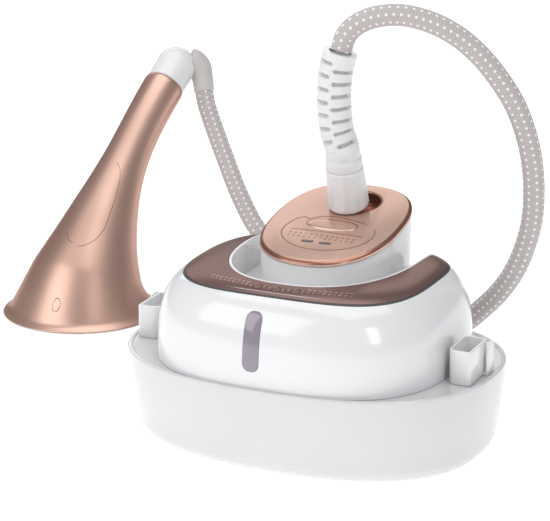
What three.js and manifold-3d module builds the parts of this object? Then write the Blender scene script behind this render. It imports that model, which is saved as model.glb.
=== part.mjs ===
// Steam generator iron: a docked flat-iron head, a horn handpiece, and the steam station that
// feeds both through braided hoses. Millimetres, +Z up. The origin is the centre of the
// station's underside; +X is the station's right, +Y its back.
import * as THREE from "three";
import { mergeVertices } from "three/addons/utils/BufferGeometryUtils.js";
import Module from "manifold-3d";

const wasm = await Module();
wasm.setup();

// ---- driving dimensions ---------------------------------------------------------------------
const GAP = 0.3; // between pieces that touch
const SIDES = 30; // points round a station outline

const TRAY = { a: 171.5, b: 126.3, n: 2.4, height: 82.5, taper: 7, corner: 18, wall: 3.2, low: 1.8 };
const SHELF_Z = 81;
const DOME = { a: 135, b: 121, n: 2.75, low: 81.3, height: 82.2, power: 3.15, inset: 60, wall: 4 };
const PANEL = { a: 110.5, b: 98, n: 3, y: 3, thick: 2.6, proud: 0.5 };
const DOCK = { a: 82, b: 117, n: 2.4, y: 45, floor: 134.3, wall: 2.2, base: 131.3 };
const WINDOW = { x: -8, width: 15, low: 97.5, high: 148 };
const KEY = { r: 4.6, under: 1.3, proud: 1.0 };
const KEY_PLACES = [["key_power", -18, -84], ["key_steam", 0, -85.2], ["key_mode", 18, -84]];

const HEAD = { half: 62, front: 79, back: 81, y: 43, nFront: 2.3, nBack: 2.6, low: 141, wall: 3 };
const PLATE = { z: 181, slope: 0.19, thick: 5, bevel: 3.2 }; // top face: z + slope * y
const HOSE_AXIS = { y: 74, z: 195, lean: THREE.MathUtils.degToRad(15) };
const RECESS = { x: 2.5, y: 85, r: 24.6, floor: 11.5 };
const NUT = { low: 2, high: 42, rLow: 19.5, rHigh: 17.5, bore: 13.2 };
const RELIEF = { ring: 12, rRing: 16.8, r: 15.6 };

const HORN = { x: -368, y: 228, turn: THREE.MathUtils.degToRad(79.7), wall: 2.5, start: 0.07, throat: 0.3 };
const HORN_AXIS = [[0, 0], [0, 22.8], [37.7, 124.4], [147.2, 214.3]]; // out and up, in the horn's plane
const HORN_RADII = [[0, 82.9], [0.06, 74.8], [0.15, 68.8], [0.3, 57.7], [0.5, 40.5], [0.75, 24], [1, 22]];

const HOSE_R = 10;
const COIL = { x: -115, y: 240, r: 100, low: 1.2, middle: 40.6, high: 70 };
const GLAND_Z = 29;
const GLAND_TIP_Y = 152;
const IRON_GLAND_X = 53;
const HORN_GLAND_X = 0;

// ---- shape helpers --------------------------------------------------------------------------
const V = (x, y, z) => new THREE.Vector3(x, y, z);
const power = (value, p) => Math.sign(value) * Math.abs(value) ** p;

function superRing(a, b, n, z, y = 0, x = 0, count = SIDES) {
  return Array.from({ length: count }, (_, i) => {
    const t = (2 * Math.PI * i) / count;
    return V(x + a * power(Math.cos(t), 2 / n), y + b * power(Math.sin(t), 2 / n), z);
  });
}

function loft(rings, closed = false) {
  const count = rings[0].length;
  const positions = rings.flat().flatMap((p) => [p.x, p.y, p.z]);
  const index = [];
  const bands = closed ? rings.length : rings.length - 1;
  for (let i = 0; i < bands; i++) {
    const a = i * count;
    const b = ((i + 1) % rings.length) * count;
    for (let j = 0; j < count; j++) {
      const k = (j + 1) % count;
      index.push(a + j, a + k, b + k, a + j, b + k, b + j);
    }
  }
  if (!closed) {
    for (const [row, flip] of [[0, true], [rings.length - 1, false]]) {
      const centre = rings[row].reduce((sum, p) => sum.add(p), V(0, 0, 0)).divideScalar(count);
      const c = positions.length / 3;
      positions.push(centre.x, centre.y, centre.z);
      for (let j = 0; j < count; j++) {
        const pair = [row * count + j, row * count + ((j + 1) % count)];
        if (flip) pair.reverse();
        index.push(c, ...pair);
      }
    }
  }
  if (signedVolume(positions, index) < 0) {
    for (let i = 0; i < index.length; i += 3) [index[i], index[i + 1]] = [index[i + 1], index[i]];
  }
  const geometry = new THREE.BufferGeometry();
  geometry.setAttribute("position", new THREE.Float32BufferAttribute(positions, 3));
  geometry.setIndex(index);
  return geometry;
}

function signedVolume(positions, index) {
  const point = (i) => V(...positions.slice(3 * i, 3 * i + 3));
  let volume = 0;
  for (let i = 0; i < index.length; i += 3) {
    const [p, q, r] = [index[i], index[i + 1], index[i + 2]].map(point);
    volume += p.dot(q.cross(r));
  }
  return volume;
}

// A round body along a path: the rings stand square to it, each with its own radius.
function pathRings(path, radii, sides) {
  const points = path.map((p) => p.clone());
  const side = new THREE.Vector3();
  return points.map((p, i) => {
    const before = points[Math.max(i - 1, 0)];
    const after = points[Math.min(i + 1, points.length - 1)];
    const along = after.clone().sub(before).normalize();
    if (i === 0) side.crossVectors(along, Math.abs(along.z) < 0.9 ? V(0, 0, 1) : V(1, 0, 0));
    side.sub(along.clone().multiplyScalar(side.dot(along))).normalize();
    const up = new THREE.Vector3().crossVectors(side, along);
    return Array.from({ length: sides }, (_, j) => {
      const t = (2 * Math.PI * j) / sides;
      const offset = side.clone().multiplyScalar(Math.cos(t)).addScaledVector(up, Math.sin(t));
      return p.clone().addScaledVector(offset, radii[i]);
    });
  });
}

function hoseTube(points, radius, sides, steps) {
  const circle = new THREE.Shape(
    Array.from({ length: sides }, (_, i) => {
      const t = (2 * Math.PI * i) / sides;
      return new THREE.Vector2(radius * Math.cos(t), radius * Math.sin(t));
    }),
  );
  const path = new THREE.CatmullRomCurve3(points.map((p) => V(...p)), false, "centripetal");
  return new THREE.ExtrudeGeometry(circle, { steps, extrudePath: path });
}

function lathe(profile, segments = 20) {
  const points = profile.map(([r, z]) => new THREE.Vector2(r, z));
  return new THREE.LatheGeometry(points, segments).rotateX(Math.PI / 2);
}

function ringLathe(inner, outer, low, high, segments = 20) {
  return lathe([[inner, low], [outer, low], [outer, high], [inner, high], [inner, low]], segments);
}

function disc(radius, low, high, segments = 20) {
  return lathe([[0, low], [radius, low], [radius, high], [0, high]], segments);
}

function block(x0, x1, y0, y1, z0, z1) {
  const box = new THREE.BoxGeometry(x1 - x0, y1 - y0, z1 - z0);
  return box.translate((x0 + x1) / 2, (y0 + y1) / 2, (z0 + z1) / 2);
}

function roundedShape(x0, x1, y0, y1, radii) {
  const [r0, r1, r2, r3] = radii; // from the low corner, counter-clockwise
  const shape = new THREE.Shape();
  shape.moveTo(x0 + r0, y0);
  shape.lineTo(x1 - r1, y0).absarc(x1 - r1, y0 + r1, r1, -Math.PI / 2, 0, false);
  shape.lineTo(x1, y1 - r2).absarc(x1 - r2, y1 - r2, r2, 0, Math.PI / 2, false);
  shape.lineTo(x0 + r3, y1).absarc(x0 + r3, y1 - r3, r3, Math.PI / 2, Math.PI, false);
  shape.lineTo(x0, y0 + r0).absarc(x0 + r0, y0 + r0, r0, Math.PI, 1.5 * Math.PI, false);
  return shape;
}

function extrude(shape, low, high, curveSegments = 6) {
  const options = { depth: high - low, bevelEnabled: false, curveSegments };
  return new THREE.ExtrudeGeometry(shape, options).translate(0, 0, low);
}

function solid(geometry) {
  const bare = geometry.clone();
  for (const name of Object.keys(bare.attributes)) if (name !== "position") bare.deleteAttribute(name);
  const welded = mergeVertices(bare, 1e-4);
  const vertProperties = Float32Array.from(welded.attributes.position.array);
  const triVerts = Uint32Array.from(welded.index.array);
  return new wasm.Manifold(new wasm.Mesh({ numProp: 3, vertProperties, triVerts }));
}

function geometryOf(body) {
  const mesh = body.getMesh();
  const geometry = new THREE.BufferGeometry();
  geometry.setAttribute("position", new THREE.Float32BufferAttribute(mesh.vertProperties, 3));
  geometry.setIndex(new THREE.BufferAttribute(Uint32Array.from(mesh.triVerts), 1));
  return geometry;
}

const cut = (body, ...tools) => tools.reduce((left, tool) => left.subtract(tool), body);
const join = (body, ...others) => others.reduce((whole, other) => whole.add(other), body);

// ---- materials and the group ----------------------------------------------------------------
const finish = (color, roughness, metalness = 0) => ({ color, roughness, metalness });
const WHITE = finish(0xf2f2f3, 0.25);
const CREAM = finish(0xe8e8ea, 0.45);
const ROSE = finish(0xd9a08c, 0.32, 0.75);
const MAUVE = finish(0xa88684, 0.35, 0.4);
const GREY = finish(0x6f7276, 0.6);
const BLACK = finish(0x1c1d1f, 0.7);
const SMOKE = finish(0x8d8696, 0.15);
const STEEL = finish(0xb4b7bb, 0.35, 0.9);
const BRASS = finish(0xb08d4a, 0.4, 0.9);
const GREEN = finish(0x2f6b46, 0.6);
const BRAID = finish(0xcfc6c6, 0.8);

const iron = new THREE.Group();

function piece(name, shape, look) {
  const geometry = shape.isBufferGeometry ? shape : geometryOf(shape);
  const mesh = new THREE.Mesh(geometry, new THREE.MeshStandardMaterial(look));
  mesh.name = name;
  iron.add(mesh);
  return mesh;
}

// ---- station: tray, underside, feet ---------------------------------------------------------
const trayRing = (inset, z) => superRing(TRAY.a - inset, TRAY.b - inset, TRAY.n, z);

// The tray's side leans in by the taper and turns under through the corner radius.
function traySide(grow, low) {
  const rings = [];
  const start = TRAY.low + TRAY.corner;
  for (let i = 0; i <= 3; i++) {
    const t = (i / 3) * (Math.PI / 2);
    const inset = TRAY.taper + TRAY.corner * (1 - Math.sin(t));
    rings.push([inset - grow, low + (start - low) * (1 - Math.cos(t))]);
  }
  for (const part of [0.45, 1]) {
    const z = start + (TRAY.height - 1.2 - start) * part;
    rings.push([TRAY.taper * (1 - part) ** 1.5 - grow, z]);
  }
  return rings;
}

const PLUG = { x: 62, y: 28 };
const SCREWS = [["underside_screw_left", -105], ["underside_screw_right", 105]];
const LABEL_PAD = { r: 26, low: 1.8 };
const INLET = { x: 118, y: 101.6, z: 42, turn: THREE.MathUtils.degToRad(-30) };

function placedInlet(geometry) {
  return geometry.rotateZ(INLET.turn).translate(INLET.x, INLET.y, INLET.z);
}

const trayGrown = solid(loft(traySide(GAP, TRAY.low - GAP).map(([inset, z]) => trayRing(inset, z))));

function baseTray() {
  const recess = { a: 125, b: 82, z: 5 };
  const outer = traySide(0, TRAY.low).map(([inset, z]) => trayRing(inset, z));
  const inner = traySide(-TRAY.wall, 8).map(([inset, z]) => trayRing(inset, Math.min(z, SHELF_Z - 2.6)));
  const rings = [
    superRing(recess.a, recess.b, TRAY.n, recess.z),
    superRing(recess.a, recess.b, TRAY.n, TRAY.low),
    ...outer,
    trayRing(1.2, TRAY.height),
    trayRing(3.6, TRAY.height),
    trayRing(4.4, SHELF_Z),
    superRing(127, 113, DOME.n, SHELF_Z),
    superRing(127, 113, DOME.n, SHELF_Z - 2.6),
    ...inner.reverse(),
  ];
  const holes = [
    disc(9.6, 4, 9).translate(PLUG.x, PLUG.y, 0),
    ...SCREWS.map(([, x]) => disc(2.2, 4, 9, 12).translate(x, 0, 0)),
    placedInlet(block(-17.4, 17.4, -20, 12, -13.4, 13.4)),
    ...[IRON_GLAND_X, HORN_GLAND_X].map((x) => alongY(disc(10.4, 95, 130), x, GLAND_Z)),
  ];
  return cut(solid(loft(rings)), ...holes.map(solid));
}

// Turns a shape made about the Z axis so that its axis runs along +Y through (x, z).
function alongY(geometry, x, z) {
  return geometry.rotateX(-Math.PI / 2).translate(x, 0, z);
}

function undersidePlate() {
  const plate = loft([2.2, 4.7].map((z) => superRing(124.6, 81.6, TRAY.n, z)));
  const labelPad = disc(LABEL_PAD.r, LABEL_PAD.low, 3, 28);
  const holes = [
    disc(12.4, 1, 6).translate(PLUG.x, PLUG.y, 0),
    ...SCREWS.map(([, x]) => disc(2.2, 1, 6, 12).translate(x, 0, 0)),
  ];
  return cut(join(solid(plate), solid(labelPad)), ...holes.map(solid));
}

function hoseGland(x) {
  const flange = solid(alongY(disc(15, 110, 126), x, GLAND_Z)).subtract(trayGrown);
  const spigot = solid(alongY(disc(10, 106, 127), x, GLAND_Z));
  const taper = [[0, 124], [13.6, 124], [12.4, 134], [11, GLAND_TIP_Y], [0, GLAND_TIP_Y]];
  const sleeve = solid(alongY(lathe(taper), x, GLAND_Z));
  return join(flange, spigot, sleeve);
}

function powerInlet() {
  const outline = roundedShape(-21, 21, -17, 17, [4, 4, 4, 4]);
  const flange = solid(placedInlet(extrude(outline, -8, 5).rotateX(-Math.PI / 2)));
  const barrel = solid(placedInlet(block(-17, 17, -16, 4.5, -13, 13)));
  const well = solid(placedInlet(block(-14, 14, -12, 8, -10, 10)));
  const pins = [-7, 0, 7].map((x) => solid(placedInlet(block(x - 1, x + 1, -13, 1, -3, 3))));
  return join(cut(join(flange.subtract(trayGrown), barrel), well), ...pins);
}

piece("base_tray", baseTray(), WHITE);
piece("underside_plate", undersidePlate(), GREY);
for (const [side, x] of [["left", -80], ["right", 80]]) {
  for (const [end, y] of [["front", -48], ["rear", 48]]) {
    const foot = lathe([[0, 0], [8.6, 0], [10, 0.8], [10, 1.9], [0, 1.9]], 14);
    piece(`foot_${end}_${side}`, foot.translate(x, y, 0), BLACK);
  }
}
for (const [name, x] of SCREWS) {
  const screw = lathe([[0, 1], [3.2, 1], [4, 1.9], [1.9, 1.9], [1.9, 7.6], [0, 7.6]], 12);
  piece(name, screw.translate(x, 0, 0), STEEL);
}
piece("hose_gland_iron", hoseGland(IRON_GLAND_X), CREAM);
piece("hose_gland_horn", hoseGland(HORN_GLAND_X), CREAM);
piece("power_inlet", powerInlet(), BLACK);

const plugBody = lathe([[0, 0.8], [11.2, 0.8], [12, 1.6], [12, 4.5], [9.2, 4.5], [9.2, 13.8], [0, 13.8]]);
const coinSlot = block(-9, 9, -1.2, 1.2, 0, 2.4);
piece("descale_plug", cut(solid(plugBody), solid(coinSlot)).translate([PLUG.x, PLUG.y, 0]), GREY);

// ---- station: housing, panel, dock ----------------------------------------------------------
const domeInset = (t) => DOME.inset * (1 - (1 - t ** DOME.power) ** (1 / DOME.power));

function domeSolid(grow, low = DOME.low) {
  const steps = [0, 0.3, 0.55, 0.73, 0.86, 0.94, 0.985, 1];
  const rings = steps.map((t) => {
    const inset = domeInset(t) - grow;
    return superRing(DOME.a - inset, DOME.b - inset, DOME.n, DOME.low + (DOME.height + grow) * t);
  });
  rings[0].forEach((p) => (p.z = low));
  return solid(loft(rings));
}

// The dome's outside above a point, found from the outline that passes through it.
function domeHeight(x, y) {
  let [low, high] = [0, DOME.inset];
  for (let i = 0; i < 40; i++) {
    const inset = (low + high) / 2;
    const reach = Math.abs(x / (DOME.a - inset)) ** DOME.n + Math.abs(y / (DOME.b - inset)) ** DOME.n;
    if (reach < 1) low = inset;
    else high = inset;
  }
  const part = 1 - low / DOME.inset;
  return DOME.low + DOME.height * (1 - part ** DOME.power) ** (1 / DOME.power);
}

const dockPrism = (grow, low) =>
  solid(loft([low, 180].map((z) => superRing(DOCK.a + grow, DOCK.b + grow, DOCK.n, z, DOCK.y))));
const panelPrism = (grow) =>
  solid(loft([110, 180].map((z) => superRing(PANEL.a + grow, PANEL.b + grow, PANEL.n, z, PANEL.y))));

function windowPrism(grow) {
  const half = WINDOW.width / 2 + grow;
  const r = half - 1;
  const [left, right] = [WINDOW.x - half, WINDOW.x + half];
  const shape = roundedShape(left, right, WINDOW.low - grow, WINDOW.high + grow, [r, r, r, r]);
  return solid(extrude(shape, 100, 135, 5).rotateX(Math.PI / 2));
}

function onDome(geometry, x, y) {
  const step = 0.5;
  const z = domeHeight(x, y);
  const slopeY = (domeHeight(x, y + step) - domeHeight(x, y - step)) / (2 * step);
  const slopeX = (domeHeight(x + step, y) - domeHeight(x - step, y)) / (2 * step);
  const upright = new THREE.Quaternion().setFromUnitVectors(V(0, 0, 1), V(-slopeX, -slopeY, 1).normalize());
  return geometry.applyQuaternion(upright).translate(x, y, z);
}

function housingShell() {
  const skin = cut(domeSolid(0), domeSolid(-DOME.wall, 60));
  const seat = panelPrism(1.9).subtract(domeSolid(-PANEL.thick + PANEL.proud - GAP, 60));
  return cut(skin, seat, dockPrism(DOCK.wall + GAP, DOCK.base - GAP), windowPrism(GAP));
}

function controlPanel() {
  const layer = domeSolid(PANEL.proud).subtract(domeSolid(-PANEL.thick + PANEL.proud, 60));
  const keyHoles = KEY_PLACES.map(([, x, y]) => solid(onDome(disc(KEY.r + 0.4, -6, 4, 20), x, y)));
  return cut(layer.intersect(panelPrism(0)), dockPrism(DOCK.wall + 2 * GAP, 100), ...keyHoles);
}

function panelGasket() {
  const layer = domeSolid(0.2).subtract(domeSolid(-2, 60));
  const band = panelPrism(1.6).subtract(panelPrism(GAP));
  return cut(layer.intersect(band), dockPrism(DOCK.wall + 2 * GAP, 100));
}

const FILLER = { y: -55, neck: 9.5, hingeY: -67.6, hingeZ: 138 };

function dockLiner() {
  const cup = dockPrism(DOCK.wall, DOCK.base).intersect(domeSolid(0.4));
  const filler = solid(disc(13, 120, 140).translate(0, FILLER.y, 0));
  return cut(cup, dockPrism(0, DOCK.floor), filler);
}

piece("housing_shell", housingShell(), WHITE);
piece("control_panel", controlPanel(), MAUVE);
piece("panel_gasket", panelGasket(), GREY);
piece("dock_liner", dockLiner(), CREAM);
const windowLayer = domeSolid(PANEL.proud).subtract(domeSolid(-DOME.wall, 60));
piece("water_window", windowPrism(0).intersect(windowLayer), SMOKE);
const keyTop = [[KEY.r, KEY.proud - 0.3], [KEY.r - 0.5, KEY.proud], [0, KEY.proud]];
for (const [name, x, y] of KEY_PLACES) {
  const cap = lathe([[0, -KEY.under], [KEY.r, -KEY.under], ...keyTop], 20);
  piece(name, onDome(cap, x, y), MAUVE);
}

// ---- station: water filler in the dock's floor ----------------------------------------------
const pinAlongX = (radius, x0, x1, segments) =>
  disc(radius, x0, x1, segments).rotateY(Math.PI / 2).translate(0, FILLER.hingeY, FILLER.hingeZ);

function fillerNeck() {
  const collar = ringLathe(FILLER.neck, 12.6, 124, 135, 16).translate(0, FILLER.y, 0);
  const flange = ringLathe(FILLER.neck, 14.6, DOCK.floor + GAP, 135.2, 16).translate(0, FILLER.y, 0);
  const lugs = [-1, 1].map((s) => {
    const [x0, x1] = [9, 12].map((x) => s * x).sort((p, q) => p - q);
    return solid(block(x0, x1, -70, -60, DOCK.floor + GAP, 140));
  });
  const bridge = solid(block(-12, 12, -68, -60, DOCK.floor + GAP, 135.2));
  const well = solid(disc(FILLER.neck, 120, 145, 16).translate(0, FILLER.y, 0));
  const sweep = solid(disc(13.9, 135.2, 145, 16).translate(0, FILLER.y, 0));
  const body = join(solid(collar), solid(flange), bridge, ...lugs);
  return cut(body, well, sweep, solid(pinAlongX(1.6, -13, 13, 8)));
}

function fillerLid() {
  const cap = disc(13.2, 136.1, 138.6, 20).translate(0, FILLER.y, 0);
  const arm = block(-8, 8, FILLER.hingeY, FILLER.y, 136.8, 138.6);
  const knuckle = pinAlongX(2.6, -8.6, 8.6, 10);
  const tab = block(-5, 5, FILLER.y + 12, FILLER.y + 16.5, 136.6, 138.6);
  return cut(join(...[cap, arm, knuckle, tab].map(solid)), solid(pinAlongX(1.6, -13, 13, 8)));
}

piece("filler_neck", fillerNeck(), CREAM);
piece("filler_lid", fillerLid(), CREAM);
piece("filler_hinge_pin", pinAlongX(1.2, -11.8, 11.8, 8), STEEL);

// ---- station: sockets on the side shelves ---------------------------------------------------
const SOCKET = { x0: 139, x1: 161, y0: -36, y1: 8, low: SHELF_Z + GAP, high: 112, wall: 2.6 };
const EAR = { x0: 163.2, x1: 165.2, y0: -4, y1: 12 };

function socket(mirror) {
  const { x0, x1, y0, y1, low, high, wall } = SOCKET;
  const cup = extrude(roundedShape(x0, x1, y0, y1, [9, 2.5, 4, 5]), low, high);
  const hollow = roundedShape(x0 + wall, x1 - wall, y0 + wall, y1 - wall, [6.5, 1, 1.5, 2.5]);
  const well = extrude(hollow, low + 2.5, high + 1);
  const ear = block(EAR.x0, EAR.x1, EAR.y0, EAR.y1, low, high - 1);
  const web = block(x1 - 2, EAR.x1, EAR.y0, EAR.y1 - 7, low, low + 3);
  const body = join(solid(cup).subtract(solid(well)), solid(ear), solid(web));
  return mirror ? body.mirror([1, 0, 0]) : body;
}

piece("socket_right", socket(false), WHITE);
piece("socket_left", socket(true), WHITE);

// ---- station: inside ------------------------------------------------------------------------
function waterTank() {
  const outer = [14, 122].map((z) => superRing(96, 31, 4, z, -70, 0, 20));
  const inner = [122, 17].map((z) => superRing(93.4, 28.4, 4, z, -70, 0, 20));
  return loft([...outer, ...inner]);
}

const BOILER = { x: 62, y: 28 };
const boilerRings = [[52, 36, 14.1], [58, 42, 20], [58, 42, 74], [52, 36, 82]];

function solenoidValve() {
  const body = block(24, 44, 12, 34, 82.4, 100);
  const coil = disc(9, 99, 116, 20).translate(34, 23, 0);
  return join(solid(body), solid(coil));
}

function pump() {
  const motor = disc(19, -105, -52, 24).rotateY(Math.PI / 2).translate(0, 18, 34);
  const chamber = block(-54, -30, 4, 32, 18, 50);
  const foot = block(-100, -32, 0, 36, 8.4, 20);
  return join(solid(motor), solid(chamber), solid(foot));
}

piece("water_tank", waterTank(), CREAM);
const boilerSkin = boilerRings.map(([a, b, z]) => superRing(a, b, 3, z, BOILER.y, BOILER.x, 20));
piece("boiler", loft(boilerSkin), STEEL);
piece("boiler_heater", ringLathe(12, 34, 9.5, 13.7, 28).translate(BOILER.x, BOILER.y, 0), BRASS);
const valve = lathe([[0, 82.4], [9, 82.4], [9, 90], [5, 92], [5, 106], [0, 106]], 16);
piece("safety_valve", valve.translate(98, 40, 0), BRASS);
piece("solenoid_valve", solenoidValve(), BLACK);
piece("pump", pump(), GREY);
piece("control_board", block(-112, -24, 66, 68, 14, 74), GREEN);
const feedRoute = [
  [-29.5, 18, 34], [-26, 18, 34], [-21, 18, 34.5], [-13, 20, 42],
  [-7, 25, 49], [-3, 28, 50], [0, 28, 50], [3.5, 28, 50],
];
piece("feed_tube", hoseTube(feedRoute, 3, 6, 10), CREAM);
const ironSteam = [
  [44.5, 23, 91], [48, 23, 91], [52, 23.5, 91.5], [61, 33, 94], [64, 56, 94], [62, 77, 88],
  [57, 88, 62], [54, 92, 40], [53, 98, 30.5], [53, 102, 29], [53, 105.5, 29],
];
piece("steam_pipe_iron", hoseTube(ironSteam, 4, 6, 16), BRASS);
const hornSteam = [
  [23.5, 23, 91], [20, 23, 91], [16, 23.5, 91.5], [6, 34, 94], [1, 56, 92], [0, 78, 74],
  [0, 90, 48], [0, 95, 34],
  [0, 99, 29.5], [0, 102, 29], [0, 105.5, 29],
];
piece("steam_pipe_horn", hoseTube(hornSteam, 4, 6, 16), BRASS);

// ---- iron head ------------------------------------------------------------------------------
const plateZ = (y) => PLATE.z + PLATE.slope * y;

// The head's outline: longer and rounder in front, squarer behind. Its height may follow the plate.
function headRing(inset, height, count = 28) {
  return Array.from({ length: count }, (_, i) => {
    const t = (2 * Math.PI * i) / count;
    const front = Math.sin(t) < 0;
    const n = front ? HEAD.nFront : HEAD.nBack;
    const length = (front ? HEAD.front : HEAD.back) - inset;
    const y = HEAD.y + length * power(Math.sin(t), 2 / n);
    const z = typeof height === "function" ? height(y) : height;
    return V((HEAD.half - inset) * power(Math.cos(t), 2 / n), y, z);
  });
}

// Places a shape made about the Z axis on the hose's axis, which leans towards the front.
function onHoseAxis(geometry) {
  return geometry.rotateX(HOSE_AXIS.lean).translate(0, HOSE_AXIS.y, HOSE_AXIS.z);
}

function hoseAxisPoint(s) {
  return V(0, HOSE_AXIS.y - s * Math.sin(HOSE_AXIS.lean), HOSE_AXIS.z + s * Math.cos(HOSE_AXIS.lean));
}

const BUTTON = { y: 36, a: 24, b: 10, travel: 1.5 };
const HEAD_WINDOWS = [["head_window_left", -9], ["head_window_right", 8]];
const HEAD_WINDOW_Y = 1;

// Lays a flat shape, made round the origin, on the head's sloping plate.
function onPlate(geometry, x, y) {
  return geometry.rotateX(Math.atan(PLATE.slope)).translate(x, y, plateZ(y));
}

function buttonDisc(grow, low, high) {
  const rings = [low, high].map((z) => superRing(BUTTON.a + grow, BUTTON.b + grow, 2.4, z, 0, 0, 28));
  return onPlate(loft(rings), 0, BUTTON.y);
}

function windowSlab(x, grow, low, high) {
  const rings = [low, high].map((z) => superRing(5.4 + grow, 2.2 + grow, 3.5, z, 0, 0, 16));
  return onPlate(loft(rings), x, HEAD_WINDOW_Y);
}

const recessHole = () => solid(onPlate(disc(RECESS.r, -30, 40, 20), RECESS.x, RECESS.y));

function headShell() {
  const roof = (y) => plateZ(y) - PLATE.thick - GAP;
  const outer = [headRing(2.2, HEAD.low), headRing(0.4, HEAD.low + 5), headRing(0.4, roof)];
  const inner = [headRing(HEAD.wall + 1, (y) => roof(y) - 3), headRing(HEAD.wall + 2, HEAD.low)];
  const hollow = loft([headRing(HEAD.wall + 2, HEAD.low - 5), ...inner.reverse()]);
  return cut(solid(loft(outer)), solid(hollow), recessHole(), solid(buttonDisc(1, -12, 2)));
}

function headTopPlate() {
  const rings = [
    headRing(0, (y) => plateZ(y) - PLATE.thick),
    headRing(0, (y) => plateZ(y) - 2.4),
    headRing(1.2, (y) => plateZ(y) - 1),
    headRing(PLATE.bevel, plateZ),
  ];
  const holes = HEAD_WINDOWS.map(([, x]) => solid(windowSlab(x, GAP, -2.6, 3)));
  return cut(solid(loft(rings)), recessHole(), solid(buttonDisc(0.4, -9, 3)), ...holes);
}

function hoseSpigot() {
  const r = RECESS.r - 0.4;
  const dish = [[0, -16], [r, -16], [r, -0.4], [r - 1.6, -0.4], [r - 2.4, -RECESS.floor], [0, -RECESS.floor]];
  const boss = solid(onHoseAxis(disc(NUT.bore - 0.5, -14, NUT.high - 6, 24)));
  return join(solid(onPlate(lathe(dish, 20), RECESS.x, RECESS.y)), boss);
}

function couplingNut() {
  const outside = new THREE.CylinderGeometry(NUT.rHigh, NUT.rLow, NUT.high - NUT.low, 12);
  outside.rotateX(Math.PI / 2).translate(0, 0, (NUT.low + NUT.high) / 2);
  const foot = [[0, NUT.low], [NUT.rLow - 1.6, NUT.low], [NUT.rLow + 0.4, NUT.low + 4]];
  const chamfer = lathe([...foot, [NUT.rHigh + 2, NUT.high], [0, NUT.high]], 24);
  const bore = disc(NUT.bore, NUT.low - 1, NUT.high + 1, 24);
  const body = cut(solid(outside).intersect(solid(chamfer)), solid(bore));
  return onHoseAxis(geometryOf(body));
}

// The relief leaves the nut along the hose's axis and bends back up to the loop.
const reliefStart = NUT.high + 0.4;
const RELIEF_ROUTE = [
  hoseAxisPoint(reliefStart + RELIEF.ring), hoseAxisPoint(reliefStart + RELIEF.ring + 6),
  V(-5, 56, 272), V(-6.4, 54.5, 290), V(-6.4, 53.4, 308), V(-4.6, 53, 326), V(-1, 53.6, 343),
];

function strainRelief() {
  const ring = [hoseAxisPoint(reliefStart), hoseAxisPoint(reliefStart + RELIEF.ring - 0.2)];
  const body = new THREE.CatmullRomCurve3(RELIEF_ROUTE, false, "centripetal").getPoints(11);
  const radii = [RELIEF.rRing, RELIEF.rRing, ...body.map(() => RELIEF.r)];
  return loft(pathRings([...ring, ...body], radii, 14));
}

piece("head_shell", headShell(), WHITE);
piece("head_top_plate", headTopPlate(), ROSE);
piece("steam_button", buttonDisc(0, -4.6, 0.4), ROSE);
for (const [name, x] of HEAD_WINDOWS) piece(name, windowSlab(x, 0, -2.2, 0.2), SMOKE);
const soleRings = [headRing(9, 137.1), headRing(3.4, 138.6), headRing(2.4, 140.7)];
piece("soleplate", loft(soleRings), STEEL);
const mat = [[54, 70, 134.6], [54, 70, 136.8]].map(([a, b, z]) => superRing(a, b, 2.6, z, 36, 0, 24));
piece("dock_mat", loft(mat), GREY);
piece("steam_chamber", loft([141, 158].map((z) => superRing(44, 58, 2.6, z, HEAD.y, 0, 28))), STEEL);
piece("hose_spigot", hoseSpigot(), ROSE);
piece("coupling_nut", couplingNut(), WHITE);
piece("strain_relief", strainRelief(), WHITE);

// ---- horn handpiece -------------------------------------------------------------------------
const hornOut = V(Math.cos(HORN.turn), Math.sin(HORN.turn), 0);

function hornPoint(t) {
  const s = 1 - t;
  const weights = [s ** 3, 3 * s * s * t, 3 * s * t * t, t ** 3];
  const [out, up] = [0, 1].map((k) => weights.reduce((sum, w, i) => sum + w * HORN_AXIS[i][k], 0));
  return V(HORN.x, HORN.y, up).addScaledVector(hornOut, out);
}

function hornRadius(t) {
  const i = Math.max(1, HORN_RADII.findIndex(([at]) => at >= t));
  const [[t0, r0], [t1, r1]] = [HORN_RADII[i - 1], HORN_RADII[i]];
  return r0 + ((r1 - r0) * (t - t0)) / (t1 - t0);
}

// Rings round the horn's axis. The first lies flat, and by the throat they stand square to the axis.
function hornRings(steps, inset, sides = 24) {
  const across = V(-hornOut.y, hornOut.x, 0);
  return steps.map((t) => {
    const along = hornPoint(Math.min(t + 0.01, 1)).sub(hornPoint(t - 0.01));
    const eased = Math.min(1, (t - HORN.start) / (HORN.throat - HORN.start));
    const lean = eased * Math.atan2(along.dot(hornOut), along.z);
    const outward = hornOut.clone().multiplyScalar(Math.cos(lean)).add(V(0, 0, -Math.sin(lean)));
    return Array.from({ length: sides }, (_, i) => {
      const turn = (2 * Math.PI * i) / sides;
      const offset = outward.clone().multiplyScalar(Math.cos(turn)).addScaledVector(across, Math.sin(turn));
      return hornPoint(t).addScaledVector(offset, hornRadius(t) - inset);
    });
  });
}

function hornShell() {
  const steps = [HORN.start, 0.11, 0.18, 0.26, 0.36, 0.47, 0.6, 0.74, 0.87, 1];
  return loft([...hornRings(steps, 0), ...hornRings(steps, HORN.wall).reverse()], true);
}

function hornRim() {
  const low = hornPoint(HORN.start);
  const top = low.z - GAP;
  const r = hornRadius(HORN.start);
  const profile = [[79.5, 0], [82.9, 0], [82.9, 1], [r + 0.4, top], [r - HORN.wall, top], [79.5, 0]];
  return lathe(profile, 28).translate(HORN.x, HORN.y, 0);
}

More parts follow.
